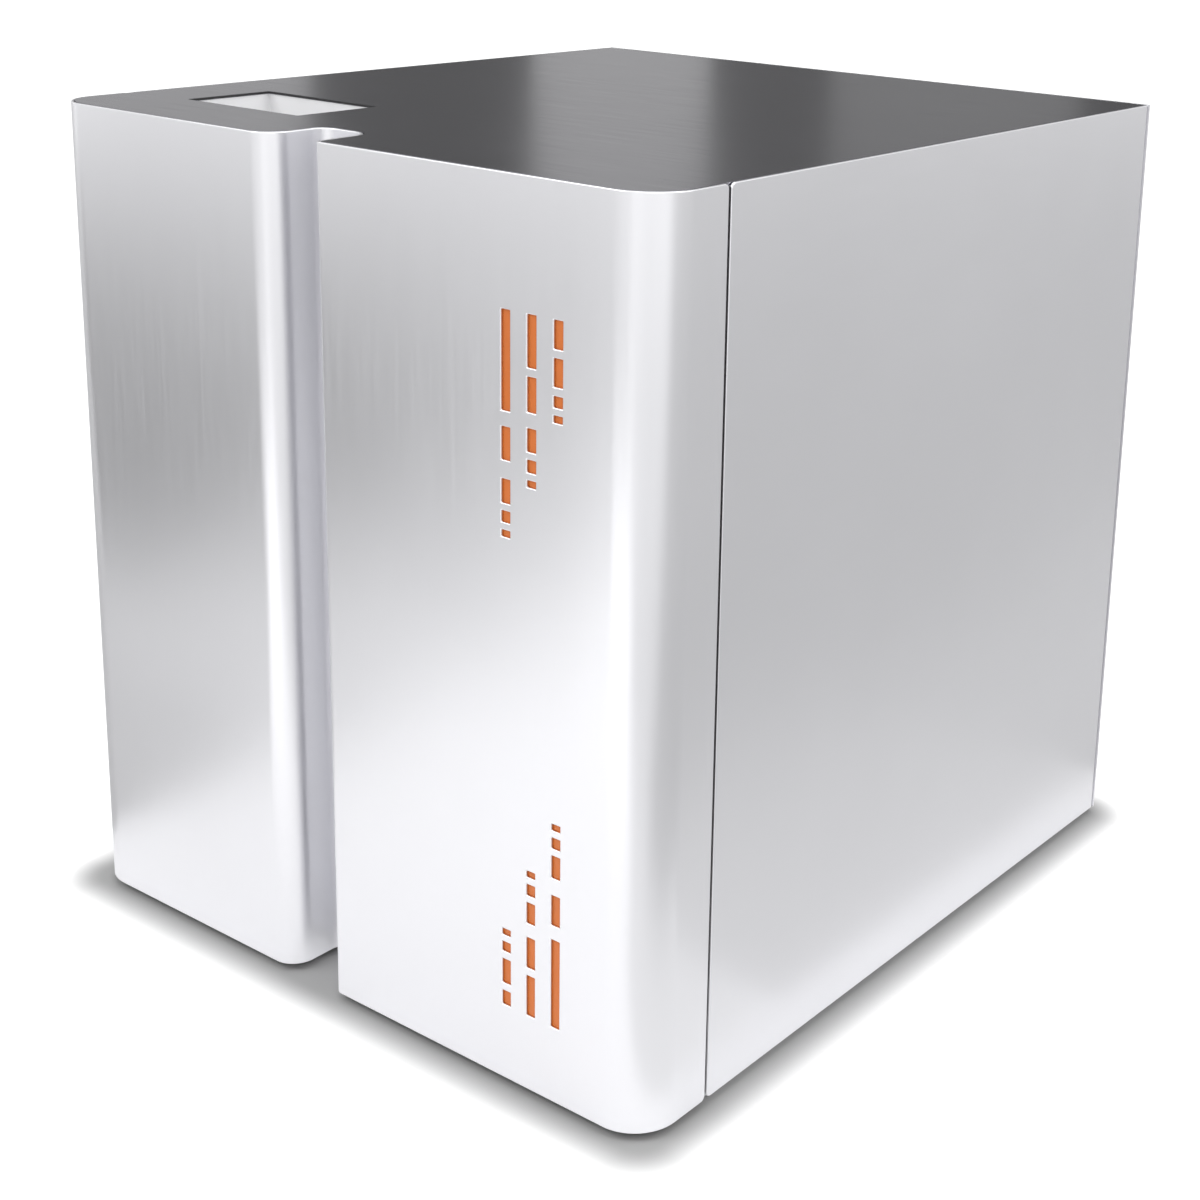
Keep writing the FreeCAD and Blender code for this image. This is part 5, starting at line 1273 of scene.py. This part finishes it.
def makeValves():
    dressedNode("valve_block", "head_aluminium", 0.0008, 2)
    coils = bmesh.new()
    yokes = bmesh.new()
    nuts = bmesh.new()
    plugs = bmesh.new()
    nut = hexHead(0.0052, 0.0034)
    for coilLow, coilHigh in islandBoxes("solenoid_valves"):
        middle = (coilLow + coilHigh) / 2
        top = coilHigh.z - 0.004
        addBox(coils, (coilLow.x + 0.0012, coilLow.y, coilLow.z + 0.0015),
               (coilHigh.x - 0.0012, coilHigh.y, top - 0.0015))
        addBox(yokes, (coilLow.x, coilLow.y + 0.006, coilLow.z),
               (coilLow.x + 0.0012, coilHigh.y - 0.006, top))
        addBox(yokes, (coilHigh.x - 0.0012, coilLow.y + 0.006, coilLow.z),
               (coilHigh.x, coilHigh.y - 0.006, top))
        addBox(yokes, (coilLow.x, coilLow.y + 0.006, top - 0.0012), (coilHigh.x, coilHigh.y - 0.006, top))
        stamp(nuts, nut, (middle.x, middle.y, top), up, 0.3)
        addBox(plugs, (middle.x - 0.006, coilHigh.y - 0.0005, top - 0.013),
               (middle.x + 0.006, coilHigh.y + 0.0045, top - 0.004))
        for side in (-0.003, 0.003):
            addBox(plugs, (middle.x + side - 0.0004, coilHigh.y + 0.0045, top - 0.0092),
                   (middle.x + side + 0.0004, coilHigh.y + 0.0095, top - 0.0086))
    standPiece("valve_coils", coils, "coil_plastic", "solenoid_valves", width=0.0012, segments=3)
    addedPiece("valve_yokes", yokes, "coil_plastic", "cabinet", finishes["supply_steel"], width=0.0002)
    addedPiece("valve_nuts", nuts, "coil_plastic", "cabinet", extras["screwSteel"])
    addedPiece("valve_plugs", plugs, "coil_plastic", "cabinet", extras["terminalGreen"], width=0.0002)


makeModules()
makeTank()
makeValves()
print("gas parts made")


# Electrics: board, power supply and wires
boardSet = {"chipPins": 14, "pinPitch": 0.0019, "rows": 5, "columns": 9}


def makeBoard():
    boardLow, boardHigh = nodeBox("control_board")
    dressedNode("control_board", "board_green", 0.0001, 1)
    boxes = {"relay": [], "chip": [], "strip": [], "can": []}
    for box in islandBoxes("board_components"):
        size = box[1] - box[0]
        flat, tall, slim = size.z < 0.005, size.z > 0.018, size.x < 0.012
        kind = "chip" if flat else "can" if tall else "strip" if slim else "relay"
        boxes[kind].append(box)
    chips = bmesh.new()
    pins = bmesh.new()
    for chipLow, chipHigh in boxes["chip"]:
        addBox(chips, (chipLow.x + 0.0015, chipLow.y + 0.0015, chipLow.z + 0.0003),
               (chipHigh.x - 0.0015, chipHigh.y - 0.0015, chipHigh.z))
        middle = (chipLow + chipHigh) / 2
        for side in range(4):
            for step in range(boardSet["chipPins"]):
                along = (step - (boardSet["chipPins"] - 1) / 2) * boardSet["pinPitch"]
                addTurnedBox(pins, (along - 0.0004, 0.0132, 0), (along + 0.0004, 0.0150, 0.0006),
                             math.tau * side / 4, "Z", (middle.x, middle.y, chipLow.z))
    for row in range(boardSet["rows"]):
        for column in range(boardSet["columns"]):
            x = boardLow.x + 0.008 + column * 0.0062
            y = boardLow.y + 0.065 + row * 0.0036
            turned = (row + column) % 3
            reach = (0.0010, 0.0006) if turned else (0.0006, 0.0010)
            addBox(chips, (x - reach[0], y - reach[1], boardHigh.z),
                   (x + reach[0], y + reach[1], boardHigh.z + 0.0006))
            addBox(pins, (x - reach[0] - 0.0002, y - reach[1] * 0.9, boardHigh.z),
                   (x - reach[0] + 0.0004, y + reach[1] * 0.9, boardHigh.z + 0.00065))
            addBox(pins, (x + reach[0] - 0.0004, y - reach[1] * 0.9, boardHigh.z),
                   (x + reach[0] + 0.0002, y + reach[1] * 0.9, boardHigh.z + 0.00065))
    standPiece("board_chips", chips, "coil_plastic", "board_components", finish=extras["chipBlack"],
               width=0.0001)
    relays = bmesh.new()
    for corners in boxes["relay"]:
        addBox(relays, *corners)
    addedPiece("board_relays", relays, "coil_plastic", "cabinet", extras["relayBlue"], width=0.0005,
               segments=3)
    strips = bmesh.new()
    head = screwHead(0.0019, 0.0007)
    for stripLow, stripHigh in boxes["strip"]:
        addBox(strips, stripLow, (stripHigh.x, stripHigh.y, stripHigh.z - 0.0015))
        for step in range(9):
            y = stripLow.y + 0.0028 + step * (stripHigh.y - stripLow.y - 0.0056) / 8
            stamp(pins, head, ((stripLow.x + stripHigh.x) / 2, y, stripHigh.z - 0.0012), up, step * 0.9)
            addBox(strips, (stripLow.x, y - 0.0031, stripHigh.z - 0.0016),
                   (stripHigh.x, y - 0.0026, stripHigh.z))
    addedPiece("board_terminals", strips, "coil_plastic", "cabinet", extras["terminalGreen"], width=0.0002)
    cans = bmesh.new()
    sleeves = bmesh.new()
    for canLow, canHigh in boxes["can"]:
        middle = (canLow + canHigh) / 2
        radius = (canHigh.x - canLow.x) / 2
        tall = canHigh.z - canLow.z
        addTurned(sleeves, [(0, 0), (radius, 0), (radius, 0.003), (radius - 0.0005, 0.0035),
                            (radius, 0.004), (radius, tall - 0.0006), (radius - 0.0008, tall),
                            (radius - 0.001, tall - 0.0002)], (middle.x, middle.y, canLow.z), up, 40)
        addTurned(cans, [(radius - 0.0008, -0.0002), (radius - 0.0012, 0), (0, 0)],
                  (middle.x, middle.y, canHigh.z - 0.0003), up, 40)
    addedPiece("board_cans", sleeves, "coil_plastic", "cabinet", extras["wireBlue"])
    addedPiece("board_can_tops", cans, "coil_plastic", "cabinet", extras["solderTin"])
    for spot in cornerSpots(boardLow, boardHigh, 0.006):
        stamp(pins, screwHead(0.0028, 0.0014), spot, up, spot[0] * 60)
    addedPiece("board_metal", pins, "coil_plastic", "cabinet", extras["solderTin"])


def makeSupply():
    dressedNode("power_supply", "supply_steel", 0.0006, 2)
    low, high = nodeBox("power_supply")
    block = bmesh.new()
    screws = bmesh.new()
    addBox(block, (low.x + 0.004, low.y - 0.007, low.z + 0.014), (low.x + 0.056, low.y, low.z + 0.026))
    head = screwHead(0.0028, 0.001)
    for step in range(6):
        x = low.x + 0.0085 + step * 0.0086
        stamp(screws, head, (x, low.y - 0.007, low.z + 0.020), front, step)
        addBox(block, (x + 0.0038, low.y - 0.0082, low.z + 0.014), (x + 0.0048, low.y - 0.006, low.z + 0.026))
    for spot in cornerSpots(low, high, 0.006):
        stamp(screws, head, spot, up, spot[0] * 50)
    addedPiece("supply_terminals", block, "supply_steel", "cabinet", extras["chipBlack"], width=0.0003)
    addedPiece("supply_screws", screws, "supply_steel", "cabinet", extras["screwSteel"])


def smoothNode(node, slot, finish=None):
    # a round run keeps its CAD shape and only gets smooth shading
    piece = withoutNormals(makePiece(node + "_smooth", mergedCopy(node), finish or finishes[slot]))
    smoothTo(piece, 50)
    return standFor(piece, slot, node)


makeBoard()
makeSupply()
smoothNode("air_tubing", "tube_nylon")
smoothNode("wiring_loom", slotOfNode["wiring_loom"], extras["chipBlack"])
for node, width in (("tube_fittings", 0.0006), ("pneumatics_plate", 0.0002), ("fascia_catches", 0.0008),
                    ("fascia_studs", 0.0003), ("rubber_feet", 0.0006), ("slot_backing", 0.0001),
                    ("display_window", 0.0002)):
    dressedNode(node, slotOfNode[node], width)
print("inside made")

# Sheet parts whose CAD shape is right get their softened edges here
for node, slot, width in (("left_side_panel", "panel_metal", 0.0006),
                          ("right_side_panel", "panel_metal", 0.0006),
                          ("rear_panel", "panel_metal", 0.0006), ("front_frame", "frame_metal", 0.0002),
                          ("base_pan", "frame_metal", 0.0002), ("cover_rails", "frame_metal", 0.0002),
                          ("well_liner", "well_metal", 0.0002)):
    dressedNode(node, slot, width, 3)

# The other nodes get their finish on their own slots
for node, piece in cadNodes.items():
    if not piece.hide_render:
        piece.data.materials.clear()
        piece.data.materials.append(finishes[slotOfNode[node]])
